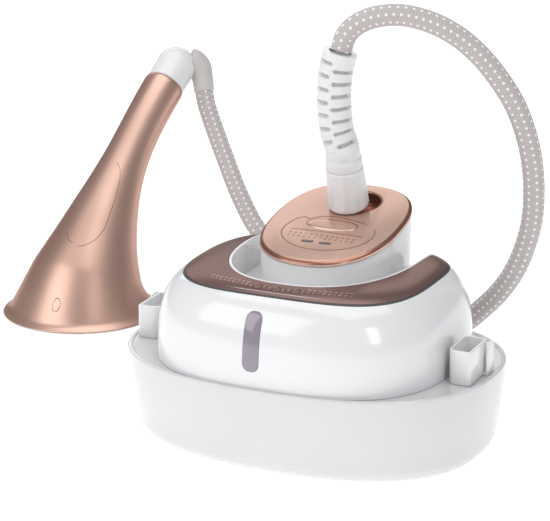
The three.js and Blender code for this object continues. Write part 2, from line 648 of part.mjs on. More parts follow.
// A perforated plate across the horn, where the steam spreads before it leaves the mouth.
function hornSteamPlate() {
  const at = 0.3;
  const along = hornPoint(at + 0.01).sub(hornPoint(at - 0.01)).normalize();
  const plate = disc(hornRadius(at) - HORN.wall - 2.8, 0, 2.4, 24);
  const holes = Array.from({ length: 6 }, (_, i) => {
    const t = (2 * Math.PI * i) / 6;
    return solid(disc(5, -2, 5, 8).translate(32 * Math.cos(t), 32 * Math.sin(t), 0));
  });
  const body = geometryOf(cut(solid(plate), ...holes));
  body.applyQuaternion(new THREE.Quaternion().setFromUnitVectors(V(0, 0, 1), along));
  return body.translate(...hornPoint(at));
}

// The elbow is a ball on the end of the neck with a stub on its side, where the sleeve begins.
const neckEnd = hornPoint(1);
const neckAlong = hornPoint(1).sub(hornPoint(0.99)).normalize();
const ELBOW = { ball: 21.5, reach: 25.5, stub: 13.2 };
const ballCentre = neckEnd.clone().addScaledVector(neckAlong, ELBOW.reach);
const SLEEVE_ROUTE = [
  V(-324.8, 400.9, 238), V(-320.4, 403.6, 236.2), V(-315.6, 405.8, 229.8),
  V(-312.2, 404.4, 218), V(-308, 399.8, 204.2),
];

const sleevePath = new THREE.CatmullRomCurve3(SLEEVE_ROUTE, false, "centripetal").getPoints(8);

function cylinderBetween(from, to, rFrom, rTo, sides) {
  return loft(pathRings([from, to], [rFrom, rTo], sides));
}

function hornElbow() {
  const start = neckEnd.clone().addScaledVector(neckAlong, GAP);
  const cone = cylinderBetween(start, ballCentre, 21, ELBOW.ball - 0.4, 20);
  const ball = new THREE.SphereGeometry(ELBOW.ball, 20, 12).translate(...ballCentre);
  const sleeveAlong = sleevePath[1].clone().sub(sleevePath[0]).normalize();
  const stubEnd = sleevePath[0].clone().addScaledVector(sleeveAlong, -0.4);
  const stubStart = stubEnd.clone().addScaledVector(sleeveAlong, -10);
  const stub = cylinderBetween(stubStart, stubEnd, ELBOW.stub, ELBOW.stub, 16);
  const beyond = stubEnd.clone().addScaledVector(sleeveAlong, 40);
  const clear = cylinderBetween(stubEnd, beyond, 30, 30, 12);
  return cut(join(solid(cone), solid(ball), solid(stub)), solid(clear));
}

function hornSleeve() {
  return loft(pathRings(sleevePath, sleevePath.map((p, i) => 12.4 - 0.2 * i), 16));
}

piece("horn_shell", hornShell(), ROSE);
piece("horn_rim", hornRim(), CREAM);
piece("horn_steam_plate", hornSteamPlate(), CREAM);
const innerTube = [0.325, 0.45, 0.6, 0.75, 0.88, 0.97].map((t) => hornPoint(t).toArray());
piece("horn_steam_tube", hoseTube(innerTube, 5, 6, 8), CREAM);
piece("horn_elbow", hornElbow(), WHITE);
piece("horn_sleeve", hornSleeve(), BRAID);

// ---- hoses ----------------------------------------------------------------------------------
// Each hose leaves its gland, lies in one coil behind the station and rises to its handpiece.
const IRON_HOSE = [
  [0.1, 53.9, 347], [2.6, 54.6, 355], [8.5, 56.4, 364], [19, 60, 371.5], [33, 65, 376], [49, 71, 377],
  [65, 77, 374], [82, 83, 367.5], [99, 89, 357], [116, 95.5, 341], [132, 102, 320], [145, 108, 297],
  [154, 114, 270], [159, 119, 242], [160, 123, 215], [157.5, 128, 188], [150.5, 132, 161],
  [139.5, 137, 135], [124, 142, 111],
  [108, 146, 93], [103.5, 147, 88.5],
];
const IRON_HOSE_TAIL = [
  [103.2, 147.1, 88.1], [98.7, 148, 83.4], [86, 149, 72.5], [67, 148.5, 63.5], [44, 146.5, 58],
  [18, 144, 54.5], [-14, 142, 52], [-48, 140, 50],
];
const IRON_LEAD = [
  [6, 252.6, 52.4], [24, 229.5, 46.5], [37.5, 208, 40.5], [47, 188, 35], [51.5, 173, 31], [53, 162, 29.2],
  [53, 157, 29], [53, 152.5, 29],
];
const HORN_HOSE = [
  [-307.6, 399.4, 202.6], [-303.4, 396.2, 191], [-288.5, 387, 165], [-270.5, 376, 137],
  [-248, 361, 106], [-222, 348, 76], [-203, 344.5, 60.5], [-181, 343.2, 48],
];
const HORN_LEAD = [
  [-4.6, 189, 16.5], [-2, 176, 21.5], [-0.6, 167, 26], [0, 160, 28.6], [0, 156, 29], [0, 152.5, 29],
];

function coilRing(low, high) {
  return ringLathe(COIL.r - HOSE_R, COIL.r + HOSE_R, low, high, 30).translate(COIL.x, COIL.y, 0);
}

// A strap round both coils on their left side.
function coilTie() {
  const high = COIL.high + GAP;
  const half = HOSE_R + 1.1;
  const outline = roundedShape(-half - 0.9, half + 0.9, 0, high + 0.9, [1, 1, 1, 1]);
  outline.holes.push(roundedShape(-half, half, 0.9, high, [0.5, 0.5, 0.5, 0.5]));
  const strap = extrude(outline, -7, 7, 2).rotateX(Math.PI / 2);
  return strap.translate(COIL.x - COIL.r, COIL.y, 0);
}

piece("iron_hose", hoseTube(IRON_HOSE, HOSE_R, 8, 26), BRAID);
piece("iron_hose_tail", hoseTube(IRON_HOSE_TAIL, HOSE_R, 8, 7), BRAID);
piece("iron_hose_coil", coilRing(COIL.middle + GAP, COIL.high), BRAID);
piece("iron_hose_lead", hoseTube(IRON_LEAD, HOSE_R, 8, 8), BRAID);
piece("horn_hose", hoseTube(HORN_HOSE, HOSE_R, 8, 10), BRAID);
piece("horn_hose_coil", coilRing(COIL.low, COIL.middle), BRAID);
piece("horn_hose_lead", hoseTube(HORN_LEAD, HOSE_R, 8, 6), BRAID);
piece("coil_tie", coilTie(), GREY);

export default iron;
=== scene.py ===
import math

import bmesh
import bpy
import numpy as np
from mathutils import Matrix, Vector


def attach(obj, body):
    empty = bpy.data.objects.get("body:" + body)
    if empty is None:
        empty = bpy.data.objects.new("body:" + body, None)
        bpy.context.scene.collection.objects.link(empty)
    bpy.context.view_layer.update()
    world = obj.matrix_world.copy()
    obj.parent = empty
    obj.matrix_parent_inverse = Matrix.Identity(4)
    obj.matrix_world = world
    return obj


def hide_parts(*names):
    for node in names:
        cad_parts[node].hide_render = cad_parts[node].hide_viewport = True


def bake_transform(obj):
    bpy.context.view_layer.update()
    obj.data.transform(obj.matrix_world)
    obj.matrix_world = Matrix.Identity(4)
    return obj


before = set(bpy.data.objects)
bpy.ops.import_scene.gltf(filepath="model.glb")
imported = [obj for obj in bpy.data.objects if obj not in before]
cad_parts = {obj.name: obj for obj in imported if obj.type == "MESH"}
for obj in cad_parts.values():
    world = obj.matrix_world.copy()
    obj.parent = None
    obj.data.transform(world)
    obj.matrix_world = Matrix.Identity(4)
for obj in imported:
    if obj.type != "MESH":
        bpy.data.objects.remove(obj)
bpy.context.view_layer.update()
MM = 0.001

# ---- camera ----
CAMERA_TURN = math.radians(24.7)
CAMERA_TILT = math.radians(17)
CAMERA_DISTANCE = 2200
CAMERA_LENS = 158.4  # focal length on a sensor 36 mm wide
CAMERA_SLIDE = (-36.4, 157.2)  # to the right and up, in the camera's own directions


def place_camera():
    turn, tilt = CAMERA_TURN, CAMERA_TILT
    right = Vector((math.cos(turn), math.sin(turn), 0))
    ahead = Vector((-math.sin(turn) * math.cos(tilt), math.cos(turn) * math.cos(tilt), -math.sin(tilt)))
    up = right.cross(ahead)
    spot = CAMERA_SLIDE[0] * right + CAMERA_SLIDE[1] * up - CAMERA_DISTANCE * ahead
    data = bpy.data.cameras.new("camera")
    data.lens = CAMERA_LENS
    camera = bpy.data.objects.new("camera", data)
    bpy.context.collection.objects.link(camera)
    camera.matrix_world = Matrix((right, up, -ahead)).transposed().to_4x4()
    camera.location = spot * MM
    bpy.context.scene.camera = camera


place_camera()


# ---- mesh helpers ----
def make(name, verts, faces):
    """A mesh object from points in millimetres, with its faces turned outwards."""
    mesh = bpy.data.meshes.new(name)
    mesh.from_pydata((np.asarray(verts, float) * MM).tolist(), [], faces)
    obj = bpy.data.objects.new(name, mesh)
    bpy.context.collection.objects.link(obj)
    work = bmesh.new()
    work.from_mesh(mesh)
    bmesh.ops.recalc_face_normals(work, faces=work.faces)
    work.to_mesh(mesh)
    work.free()
    return obj


def loft(name, rings, closed=False):
    """A skin over rings of equal count: capped at both ends, or closed on itself."""
    rings = np.asarray(rings, float)
    rows, count = rings.shape[:2]
    faces = []
    for i in range(rows if closed else rows - 1):
        a, b = i * count, ((i + 1) % rows) * count
        for j in range(count):
            k = (j + 1) % count
            faces.append((a + j, a + k, b + k, b + j))
    if not closed:
        faces.append(tuple(reversed(range(count))))
        faces.append(tuple(range((rows - 1) * count, rows * count)))
    return make(name, rings.reshape(-1, 3), faces)


def superellipse(a, b, n, x=0.0, y=0.0, count=160):
    t = np.linspace(0, 2 * np.pi, count, endpoint=False)
    c, s = np.cos(t), np.sin(t)
    px = x + a * np.sign(c) * np.abs(c) ** (2 / n)
    py = y + b * np.sign(s) * np.abs(s) ** (2 / n)
    return np.column_stack([px, py])


def at_height(outline, z):
    return np.column_stack([outline, np.full(len(outline), z)])


def facing_y(outline, y):
    """An outline of X and Z, set upright at one Y."""
    return np.column_stack([outline[:, 0], np.full(len(outline), y), outline[:, 1]])


def flat_rings(a, b, n, levels, count=96):
    """Level superellipses, each drawn in by an inset at its height."""
    return [at_height(superellipse(a - inset, b - inset, n, count=count), z) for inset, z in levels]


def lathe_rings(profile, count=64):
    """Rings about the Z axis through a profile of radius and height."""
    t = np.linspace(0, 2 * np.pi, count, endpoint=False)
    return [np.column_stack([r * np.cos(t), r * np.sin(t), np.full(count, z)]) for r, z in profile]


def moved(rings, shift, matrix=np.eye(3)):
    return np.asarray(rings, float) @ np.asarray(matrix, float).T + np.asarray(shift, float)


def modify(obj, kind, **settings):
    """Adds one modifier, applies it, and leaves the mesh plain."""
    modifier = obj.modifiers.new(kind.lower(), kind)
    for key, value in settings.items():
        setattr(modifier, key, value)
    graph = bpy.context.evaluated_depsgraph_get()
    mesh = bpy.data.meshes.new_from_object(obj.evaluated_get(graph))
    old = obj.data
    obj.modifiers.clear()
    obj.data = mesh
    bpy.data.meshes.remove(old)
    return obj


def boolean(obj, other, operation="DIFFERENCE"):
    modify(obj, "BOOLEAN", operation=operation, solver="EXACT", object=other)
    bpy.data.objects.remove(other)
    return obj


def place(obj, body, nodes, material, sharp=32):
    """Rides the piece on its body, hides the CAD nodes it stands for, and gives it its finish."""
    obj.data.materials.clear()
    obj.data.materials.append(material)
    for polygon in obj.data.polygons:
        polygon.use_smooth = True
    obj.data.set_sharp_from_angle(angle=math.radians(sharp))
    if body:
        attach(obj, body)
    if nodes:
        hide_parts(*nodes)
    return obj


# ---- materials ----
class Shader:
    """A Principled material with a few procedural layers."""

    def __init__(self, name, **sockets):
        self.material = bpy.data.materials.new(name)
        self.material.use_nodes = True
        self.nodes = self.material.node_tree.nodes
        self.links = self.material.node_tree.links
        self.base = self.nodes["Principled BSDF"]
        for key, value in sockets.items():
            self.base.inputs[key.replace("_", " ")].default_value = value
        self.coordinates = self.nodes.new("ShaderNodeTexCoord")

    def add(self, kind, **values):
        node = self.nodes.new(kind)
        for key, value in values.items():
            if hasattr(node, key):
                setattr(node, key, value)
            else:
                node.inputs[key.replace("_", " ")].default_value = value
        return node

    def link(self, value, socket):
        """Links a node's output to the socket, or sets the socket to a number or a colour."""
        if isinstance(value, (int, float)):
            socket.default_value = value
        elif isinstance(value, tuple):
            socket.default_value = (*value, 1)
        else:
            self.links.new(value, socket)

    def noise(self, scale, detail=4.0, roughness=0.5, stretch=None):
        node = self.add("ShaderNodeTexNoise", Scale=scale, Detail=detail, Roughness=roughness)
        source = self.coordinates.outputs["Object"]
        if stretch:
            mapping = self.add("ShaderNodeMapping", Scale=stretch)
            self.link(source, mapping.inputs["Vector"])
            source = mapping.outputs["Vector"]
        self.link(source, node.inputs["Vector"])
        return node.outputs["Fac"]

    def ramp(self, source, *stops):
        node = self.nodes.new("ShaderNodeValToRGB")
        elements = node.color_ramp.elements
        while len(elements) < len(stops):
            elements.new(0.5)
        for element, (position, color) in zip(elements, stops):
            element.position = position
            element.color = (*color, 1)
        self.link(source, node.inputs["Fac"])
        return node.outputs["Color"]

    def spread(self, source, low, high):
        node = self.add("ShaderNodeMapRange")
        node.inputs["To Min"].default_value = low
        node.inputs["To Max"].default_value = high
        self.link(source, node.inputs["Value"])
        return node.outputs["Result"]

    def math(self, operation, *values):
        node = self.add("ShaderNodeMath", operation=operation)
        for value, socket in zip(values, node.inputs):
            self.link(value, socket)
        return node.outputs["Value"]

    def mix(self, factor, a, b, blend_type="MIX"):
        node = self.add("ShaderNodeMix", data_type="RGBA", blend_type=blend_type)
        for value, socket in zip((factor, a, b), (node.inputs[0], node.inputs[6], node.inputs[7])):
            self.link(value, socket)
        return node.outputs[2]

    def bump(self, height, strength, distance=0.0002):
        node = self.add("ShaderNodeBump", Strength=strength, Distance=distance)
        self.link(height, node.inputs["Height"])
        self.link(node.outputs["Normal"], self.base.inputs["Normal"])

    def color(self, source):
        self.link(source, self.base.inputs["Base Color"])

    def rough(self, source):
        self.link(source, self.base.inputs["Roughness"])


def plastic(name, color, rough, grain=900.0, grain_strength=0.05, coat=0.0, tint=0.04):
    """Moulded plastic: a fine texture, faint clouding of its colour, and uneven gloss."""
    s = Shader(name, Coat_Weight=coat, Coat_Roughness=0.06)
    cloud = s.noise(14.0, 3.0)
    dark = tuple(c * (1 - tint) for c in color)
    s.color(s.ramp(cloud, (0.3, dark), (0.7, color)))
    s.rough(s.spread(s.noise(60.0, 5.0), rough * 0.85, rough * 1.2))
    s.bump(s.noise(grain, 2.0), grain_strength)
    return s.material


def metal_paint(name, color, rough, metallic=0.85, coat=0.2):
    """Metallic paint: fine flakes under a thin clear coat, a little warmer where it is thick."""
    s = Shader(name, Metallic=metallic, Coat_Weight=coat, Coat_Roughness=0.12)
    s.base.inputs["Specular Tint"].default_value = (0.55, 0.42, 0.38, 1)
    flakes = s.noise(2600.0, 2.0, 0.7)
    warm = tuple(c * k for c, k in zip(color, (1.01, 0.985, 0.97)))
    base = s.ramp(s.noise(5.0, 1.0), (0.35, color), (0.7, warm))
    s.color(s.mix(s.spread(flakes, 0.0, 0.14), base, tuple(min(1, c * 1.2) for c in color)))
    s.rough(s.spread(s.noise(12.0, 1.0), rough * 0.97, rough * 1.04))
    s.bump(flakes, 0.02, 0.0001)
    return s.material


def brushed(name, color, rough):
    """Bare metal with fine lines along X."""
    s = Shader(name, Metallic=1.0)
    lines = s.noise(1.0, 3.0, 0.6, (40.0, 900.0, 900.0))
    s.color(s.ramp(lines, (0.25, tuple(c * 0.86 for c in color)), (0.75, color)))
    s.rough(s.spread(lines, rough * 0.8, rough * 1.35))
    s.bump(lines, 0.08)
    return s.material


FLECKS_AROUND = 8  # white flecks round the hose, in each staggered row
FLECK_PITCH = 6.5  # from one fleck to the next along the hose
FLECK_FADE = (8, 1.55)  # how fast a fleck fades around the hose and along it


def braid_material():
    """A fine pale braid with round white flecks in staggered rows."""
    s = Shader("braid", Roughness=0.85, Sheen_Weight=0.3, Sheen_Roughness=0.4)
    parts = s.nodes.new("ShaderNodeSeparateXYZ")
    s.link(s.coordinates.outputs["UV"], parts.inputs[0])
    around, along = parts.outputs["X"], parts.outputs["Y"]

    def wave(source, turns):
        return s.math("COSINE", s.math("MULTIPLY", source, 2 * math.pi * turns))

    def far_from_fleck(sign):
        waves = (wave(around, FLECKS_AROUND / 2), wave(along, 1))
        return s.math("ADD", *[s.math("MULTIPLY_ADD", w, -k * sign, k) for w, k in zip(waves, FLECK_FADE)])

    distance = s.math("MINIMUM", far_from_fleck(1), far_from_fleck(-1))
    mask = s.add("ShaderNodeMapRange", interpolation_type="SMOOTHSTEP")
    mask.inputs["From Min"].default_value = 1.5
    mask.inputs["From Max"].default_value = 0.8
    s.link(distance, mask.inputs["Value"])
    yarn = s.math("MULTIPLY", wave(around, FLECKS_AROUND), wave(along, 2))
    fibre = s.noise(1400.0, 3.0, 0.7)
    ground = s.ramp(s.math("MULTIPLY_ADD", yarn, 0.3, 0.5),
                    (0.0, (0.47, 0.43, 0.42)), (0.5, (0.555, 0.51, 0.50)), (1.0, (0.62, 0.58, 0.565)))
    colored = s.mix(mask.outputs["Result"], ground, (0.93, 0.92, 0.91))
    s.color(s.mix(s.spread(fibre, 0.0, 0.3), colored, (0.6, 0.57, 0.56), "MULTIPLY"))
    s.bump(fibre, 0.35, 0.0003)
    return s.material


WHITE = plastic("white_gloss", (0.83, 0.83, 0.835), 0.16, 1100.0, 0.03, 0.4, 0.02)
WHITE_SATIN = plastic("white_satin", (0.76, 0.76, 0.77), 0.36, 900.0, 0.08, 0.0, 0.03)
# a greyer copy of the gloss white for the tray: painted shade on the base
WHITE_SHADED_BASE = plastic("white_base_shaded", (0.69, 0.69, 0.695), 0.2, 1100.0, 0.03, 0.35, 0.02)
WHITE_PART = plastic("white_part", (0.82, 0.82, 0.825), 0.26, 800.0, 0.06, 0.15, 0.03)
ROSE = metal_paint("rose_gold", (0.74, 0.52, 0.43), 0.27)
ROSE_SATIN = metal_paint("rose_satin", (0.66, 0.43, 0.35), 0.4, 0.95)
# a darker copy of the rose gold: painted shade on the head plate's edge, on the sides of its holes and in the
# spigot's recess, and the own colour of the engraved lines on the plate and the horn
ROSE_SHADE_AND_PRINT = metal_paint("rose_shade_and_print", (0.40, 0.20, 0.145), 0.24)
MAUVE = metal_paint("mauve_panel", (0.21, 0.135, 0.122), 0.26, 0.6, coat=0.0)
DARK = plastic("dark_rubber", (0.075, 0.078, 0.085), 0.55, 1200.0, 0.15, 0.0, 0.2)
GREY = plastic("grey_plastic", (0.33, 0.34, 0.35), 0.45, 900.0, 0.12, 0.0, 0.08)
BLACK = plastic("black_plastic", (0.02, 0.02, 0.022), 0.4, 900.0, 0.12, 0.0, 0.2)
DISPLAY = plastic("dark_display", (0.10, 0.07, 0.06), 0.2, 700.0, 0.02, 0.3, 0.15)
SMOKE = plastic("smoke_window", (0.30, 0.26, 0.31), 0.12, 700.0, 0.02, 0.6, 0.15)
STEEL = brushed("steel", (0.62, 0.63, 0.65), 0.28)
BRASS = brushed("brass", (0.72, 0.52, 0.22), 0.32)
BOARD = plastic("circuit_board", (0.03, 0.16, 0.07), 0.4, 500.0, 0.2, 0.1, 0.3)
SLEEVE = plastic("grey_sleeve", (0.60, 0.56, 0.55), 0.5, 1300.0, 0.12, 0.0, 0.05)
RIM = plastic("pale_rim", (0.80, 0.72, 0.70), 0.22, 700.0, 0.03, 0.3, 0.05)
BRAID = braid_material()


# ---- hoses ----
HOSE_R = 10
COIL = (-115, 240)
COIL_R = 100


def curve(points, step):
    """A smooth line through the points (centripetal Catmull-Rom), sampled evenly."""
    p = np.asarray(points, float)
    p = np.vstack([2 * p[0] - p[1], p, 2 * p[-1] - p[-2]])
    out = []
    for p0, p1, p2, p3 in zip(p, p[1:], p[2:], p[3:]):
        t1 = np.linalg.norm(p1 - p0) ** 0.5
        t2 = t1 + np.linalg.norm(p2 - p1) ** 0.5
        t3 = t2 + np.linalg.norm(p3 - p2) ** 0.5
        t = np.linspace(t1, t2, 24, endpoint=False)[:, None]
        a1 = (t1 - t) / t1 * p0 + t / t1 * p1
        a2 = (t2 - t) / (t2 - t1) * p1 + (t - t1) / (t2 - t1) * p2
        a3 = (t3 - t) / (t3 - t2) * p2 + (t - t2) / (t3 - t2) * p3
        b1 = (t2 - t) / t2 * a1 + t / t2 * a2
        b2 = (t3 - t) / (t3 - t1) * a2 + (t - t1) / (t3 - t1) * a3
        out.append((t2 - t) / (t2 - t1) * b1 + (t - t1) / (t2 - t1) * b2)
    line = np.vstack(out + [p[-2][None]])
    length = np.concatenate([[0], np.cumsum(np.linalg.norm(np.diff(line, axis=0), axis=1))])
    even = np.linspace(0, length[-1], max(2, int(round(length[-1] / step)) + 1))
    return np.column_stack([np.interp(even, length, line[:, k]) for k in range(3)]), even


def frames(line):
    """Two directions square to the line at each point, carried along without twist."""
    tangent = np.gradient(line, axis=0)
    tangent /= np.linalg.norm(tangent, axis=1)[:, None]
    side = np.cross(tangent[0], (0.31, 0.17, 0.93))
    sides = []
    for t in tangent:
        side = side - t * side.dot(t)
        side = side / np.linalg.norm(side)
        sides.append(side)
    sides = np.array(sides)
    return sides, np.cross(tangent, sides)


def tube(name, line, radius, count=48):
    """A tube along the line; radius is a number, one per point, or a table of point by angle."""
    side, other = frames(line)
    t = np.linspace(0, 2 * np.pi, count, endpoint=False)
    table = np.broadcast_to(np.asarray(radius, float).reshape(-1, 1) if np.ndim(radius) < 2 else radius,
                            (len(line), count))
    around = np.cos(t)[None, :, None] * side[:, None] + np.sin(t)[None, :, None] * other[:, None]
    return loft(name, line[:, None] + table[..., None] * around)


def coil_points(start, turn, low_start, low_end):
    """Points every ten degrees round the coil, while the height goes from one value to the other."""
    count = int(abs(turn) / 10)
    out = []
    for i in range(count + 1):
        angle = math.radians(start + turn * i / count)
        z = low_start + (low_end - low_start) * i / count
        out.append((COIL[0] + COIL_R * math.cos(angle), COIL[1] + COIL_R * math.sin(angle), z))
    return out


def braided(name, points):
    """A hose along the points, with raised yarns and a braid pattern that wraps round it."""
    line, along = curve(points, 1.0)
    count = 56
    t = np.linspace(0, 1, count, endpoint=False)[None, :]
    rows = (along / FLECK_PITCH)[:, None]
    one = t * FLECKS_AROUND / 2 + rows
    other = t * FLECKS_AROUND / 2 - rows
    height = np.abs(np.cos(2 * np.pi * one)) * np.abs(np.cos(2 * np.pi * other))
    obj = tube(name, line, HOSE_R - 0.45 + 0.4 * height, count)
    mesh = obj.data
    layer = mesh.uv_layers.new(name="UVMap")
    vertex = np.empty(len(mesh.loops), int)
    mesh.loops.foreach_get("vertex_index", vertex)
    row, column = vertex // count, vertex % count
    face = np.repeat(np.arange(len(mesh.polygons)), [p.loop_total for p in mesh.polygons])
    last = np.zeros(len(mesh.polygons), bool)
    np.logical_or.at(last, face, column == count - 1)
    wraps = last[face] & (column == 0) & (face < len(mesh.polygons) - 2)
    u = np.where(wraps, count, column) / count
    v = row * along[1] / FLECK_PITCH
    layer.data.foreach_set("uv", np.column_stack([u, v]).ravel())
    return obj, line


IRON_ROUTE = [
    (0.1, 53.9, 345), (2.6, 54.6, 355), (8.5, 56.4, 364), (19, 60, 371.5), (33, 65, 376), (49, 71, 377),
    (65, 77, 374), (82, 83, 367.5), (99, 89, 357), (116, 95.5, 341), (132, 102, 320), (145, 108, 297),
    (154, 114, 270), (159, 119, 242), (160, 123, 215), (157.5, 128, 188), (150.5, 132, 161),
    (139.5, 137, 135), (124, 142, 111), (108, 146, 93), (86, 149, 72.5), (67, 148.5, 63.5),
    (44, 146.5, 58), (18, 144, 54.5), (-14, 142, 52), (-48, 140, 50), (-80, 140, 48.2),
    *coil_points(-90, -230, 47, 59.6),
    (-22, 285, 58.5), (-6, 266, 56), (6, 252.6, 52.4), (24, 229.5, 46.5), (37.5, 208, 40.5), (47, 188, 35),
    (51.5, 173, 31), (53, 162, 29.2), (53, 157, 29), (53, 150, 29),
]
HORN_ROUTE = [
    (-308.8, 400.4, 206), (-307.6, 399.4, 202.6), (-303.4, 396.2, 191), (-288.5, 387, 165),
    (-270.5, 376, 137), (-248, 361, 106), (-222, 348, 76), (-203, 344.5, 60.5), (-181, 343.2, 48),
    (-155, 341.8, 38), (-135, 340.8, 35.6),
    *coil_points(90, -440, 35, 11.2),
    (-12, 232, 11.6), (-7.8, 208, 13), (-4.6, 189, 16.5), (-2, 176, 21.5), (-0.6, 167, 26), (0, 160, 28.6),
    (0, 156, 29), (0, 150, 29),
]


def hose(name, route, nodes):
    """A hose along the route, from the handpiece at its top through the coil to the station; it is fixed and
    rides on no body.
    """
    obj, line = braided(name, route)
    place(obj, None, nodes, BRAID, 70)
    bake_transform(obj)
    return obj, line[::6] * MM


def tie():
    """The strap that holds the coil together."""
    half, high, corner = 11.0, 70.4, 3.0
    profile = []
    for x, z, start in ((half, 1, -90), (half, high, 0), (-half, high, 90), (-half, 1, 180)):
        for angle in np.radians(np.linspace(start, start + 90, 7)):
            cx, cz = x - math.copysign(corner, x), z + (corner if z < 10 else -corner)
            profile.append((cx, cz, math.cos(angle), math.sin(angle)))
    rings = []
    for y, grow in ((-7, 0.3), (-6.6, 0.9), (6.6, 0.9), (7, 0.3), (6.6, -0.1), (-6.6, -0.1)):
        ring = [(COIL[0] - COIL_R + cx + (corner + grow) * c, COIL[1] + y, cz + (corner + grow) * s)
                for cx, cz, c, s in profile]
        rings.append(ring)
    obj = loft("coil_strap", rings, closed=True)
    return place(obj, "station", ["coil_tie"], DARK)


def make_hoses():
    strap = tie()
    iron, iron_path = hose(
        "iron_steam_hose", IRON_ROUTE, ["iron_hose", "iron_hose_tail", "iron_hose_coil", "iron_hose_lead"])
    horn, horn_path = hose(
        "horn_steam_hose", HORN_ROUTE, ["horn_hose", "horn_hose_coil", "horn_hose_lead"])


make_hoses()


# ---- station outlines ----
DOME = {"a": 135, "b": 121, "n": 2.75, "low": 81.3, "height": 82.2, "power": 3.15, "inset": 60, "wall": 4}
DOCK = {"a": 82, "b": 117, "n": 2.4, "y": 45, "floor": 134.3, "wall": 2.2, "base": 131.3}
PANEL = {"a": 110.5, "b": 98, "n": 3, "y": 3, "thick": 2.6, "proud": 0.5}
TRAY = {"a": 171.5, "b": 126.3, "n": 2.4, "height": 82.5, "taper": 7, "corner": 18, "low": 1.8, "wall": 3.2}
SHELF_Z = 81
GLANDS = {"hose_gland_iron": 53, "hose_gland_horn": 0}  # each gland's place along X
GLAND_Z = 29
INLET = {"spot": (118, 101.6, 42), "turn": math.radians(-30), "half_width": 17.4, "half_height": 13.4}
FILLER_Y = -55
FILLER_PIN = (-67.6, 138)  # the hinge pin's Y and Z
KEYS = {"power_key": ("key_power", -18, -84), "steam_key": ("key_steam", 0, -85.2),
        "mode_key": ("key_mode", 18, -84)}
GAP = 0.3


def dome(name, grow, low, steps=22, count=160):
    """The housing's outer form, grown or shrunk all round, closed at its bottom."""
    levels = []
    for phi in np.linspace(0, math.pi / 2, steps):
        inset = DOME["inset"] * (1 - math.cos(phi) ** (2 / DOME["power"])) - grow
        z = DOME["low"] + (DOME["height"] + grow) * math.sin(phi) ** (2 / DOME["power"])
        levels.append((inset, z if levels else low))
    return loft(name, flat_rings(DOME["a"], DOME["b"], DOME["n"], levels, count))


def dome_height(x, y):
    """The housing's height over each point, from the outline that passes through it."""
    x, y = np.asarray(x, float), np.asarray(y, float)
    low, high = np.zeros_like(x), np.full_like(x, DOME["inset"])
    for _ in range(40):
        inset = (low + high) / 2
        reach = np.abs(x / (DOME["a"] - inset)) ** DOME["n"] + np.abs(y / (DOME["b"] - inset)) ** DOME["n"]
        inside = reach < 1
        low, high = np.where(inside, inset, low), np.where(inside, high, inset)
    part = 1 - low / DOME["inset"]
    return DOME["low"] + DOME["height"] * (1 - part ** DOME["power"]) ** (1 / DOME["power"])


def prism(outline, grow, low, high=190):
    """An upright block on an outline that is grown all round."""
    ring = superellipse(outline["a"] + grow, outline["b"] + grow, outline["n"], 0, outline["y"])
    return loft("prism", [at_height(ring, low), at_height(ring, high)])


def rounded_rect(x0, x1, y0, y1, radii, steps=7):
    """A rectangle whose corners are rounded by their own radii, from the low corner on."""
    out = []
    for (x, y), radius, start in zip(((x0, y0), (x1, y0), (x1, y1), (x0, y1)), radii, (180, 270, 0, 90)):
        cx = x + math.copysign(radius, (x0 + x1) / 2 - x)
        cy = y + math.copysign(radius, (y0 + y1) / 2 - y)
        for angle in np.radians(np.linspace(start, start + 90, steps)):
            out.append((cx + radius * math.cos(angle), cy + radius * math.sin(angle)))
    return np.array(out)


def panel_layer(name, proud, depth, outer, inner=None):
    """A strip of the housing's surface: between two outlines, with the dock's opening cut out."""
    obj = dome(name, proud, 70)
    boolean(obj, dome("under", proud - depth, 60))
    boolean(obj, prism(PANEL, outer, 100), "INTERSECT")
    if inner:
        boolean(obj, prism(PANEL, inner, 90, 195))
    return boolean(obj, prism(DOCK, DOCK["wall"] + 2 * GAP, 90, 195))


def window_prism(grow):
    """The water window's upright slot, cut from the front of the housing."""
    x, half, low, high = -8, 7.5 + grow, 97.5 - grow, 148 + grow
    radius = half - 1
    ring = rounded_rect(x - half, x + half, low, high, [radius] * 4, 12)
    return loft("window_prism", [facing_y(ring, y) for y in (-100, -135)])


def along_y(rings, x, z):
    """Turns rings made about the Z axis so that their axis runs along +Y through (x, z)."""
    rings = np.asarray(rings, float)
    return np.stack([rings[..., 0] + x, rings[..., 2], z - rings[..., 1]], axis=-1)


# ---- station pieces ----
def tray_side(grow, low, steps=18):
    """Inset and height up the tray's side: turned under at the foot, then leaning out to the rim."""
    start = TRAY["low"] + TRAY["corner"]
    rings = []
    for t in np.linspace(0, math.pi / 2, 10)[:-1]:
        inset = TRAY["taper"] + TRAY["corner"] * (1 - math.sin(t))
        rings.append((inset - grow, low + (start - low) * (1 - math.cos(t))))
    for part in np.linspace(0, 1, steps):
        z = start + (TRAY["height"] - 1.2 - start) * part
        rings.append((TRAY["taper"] * (1 - part) ** 1.5 - grow, z))
    return rings


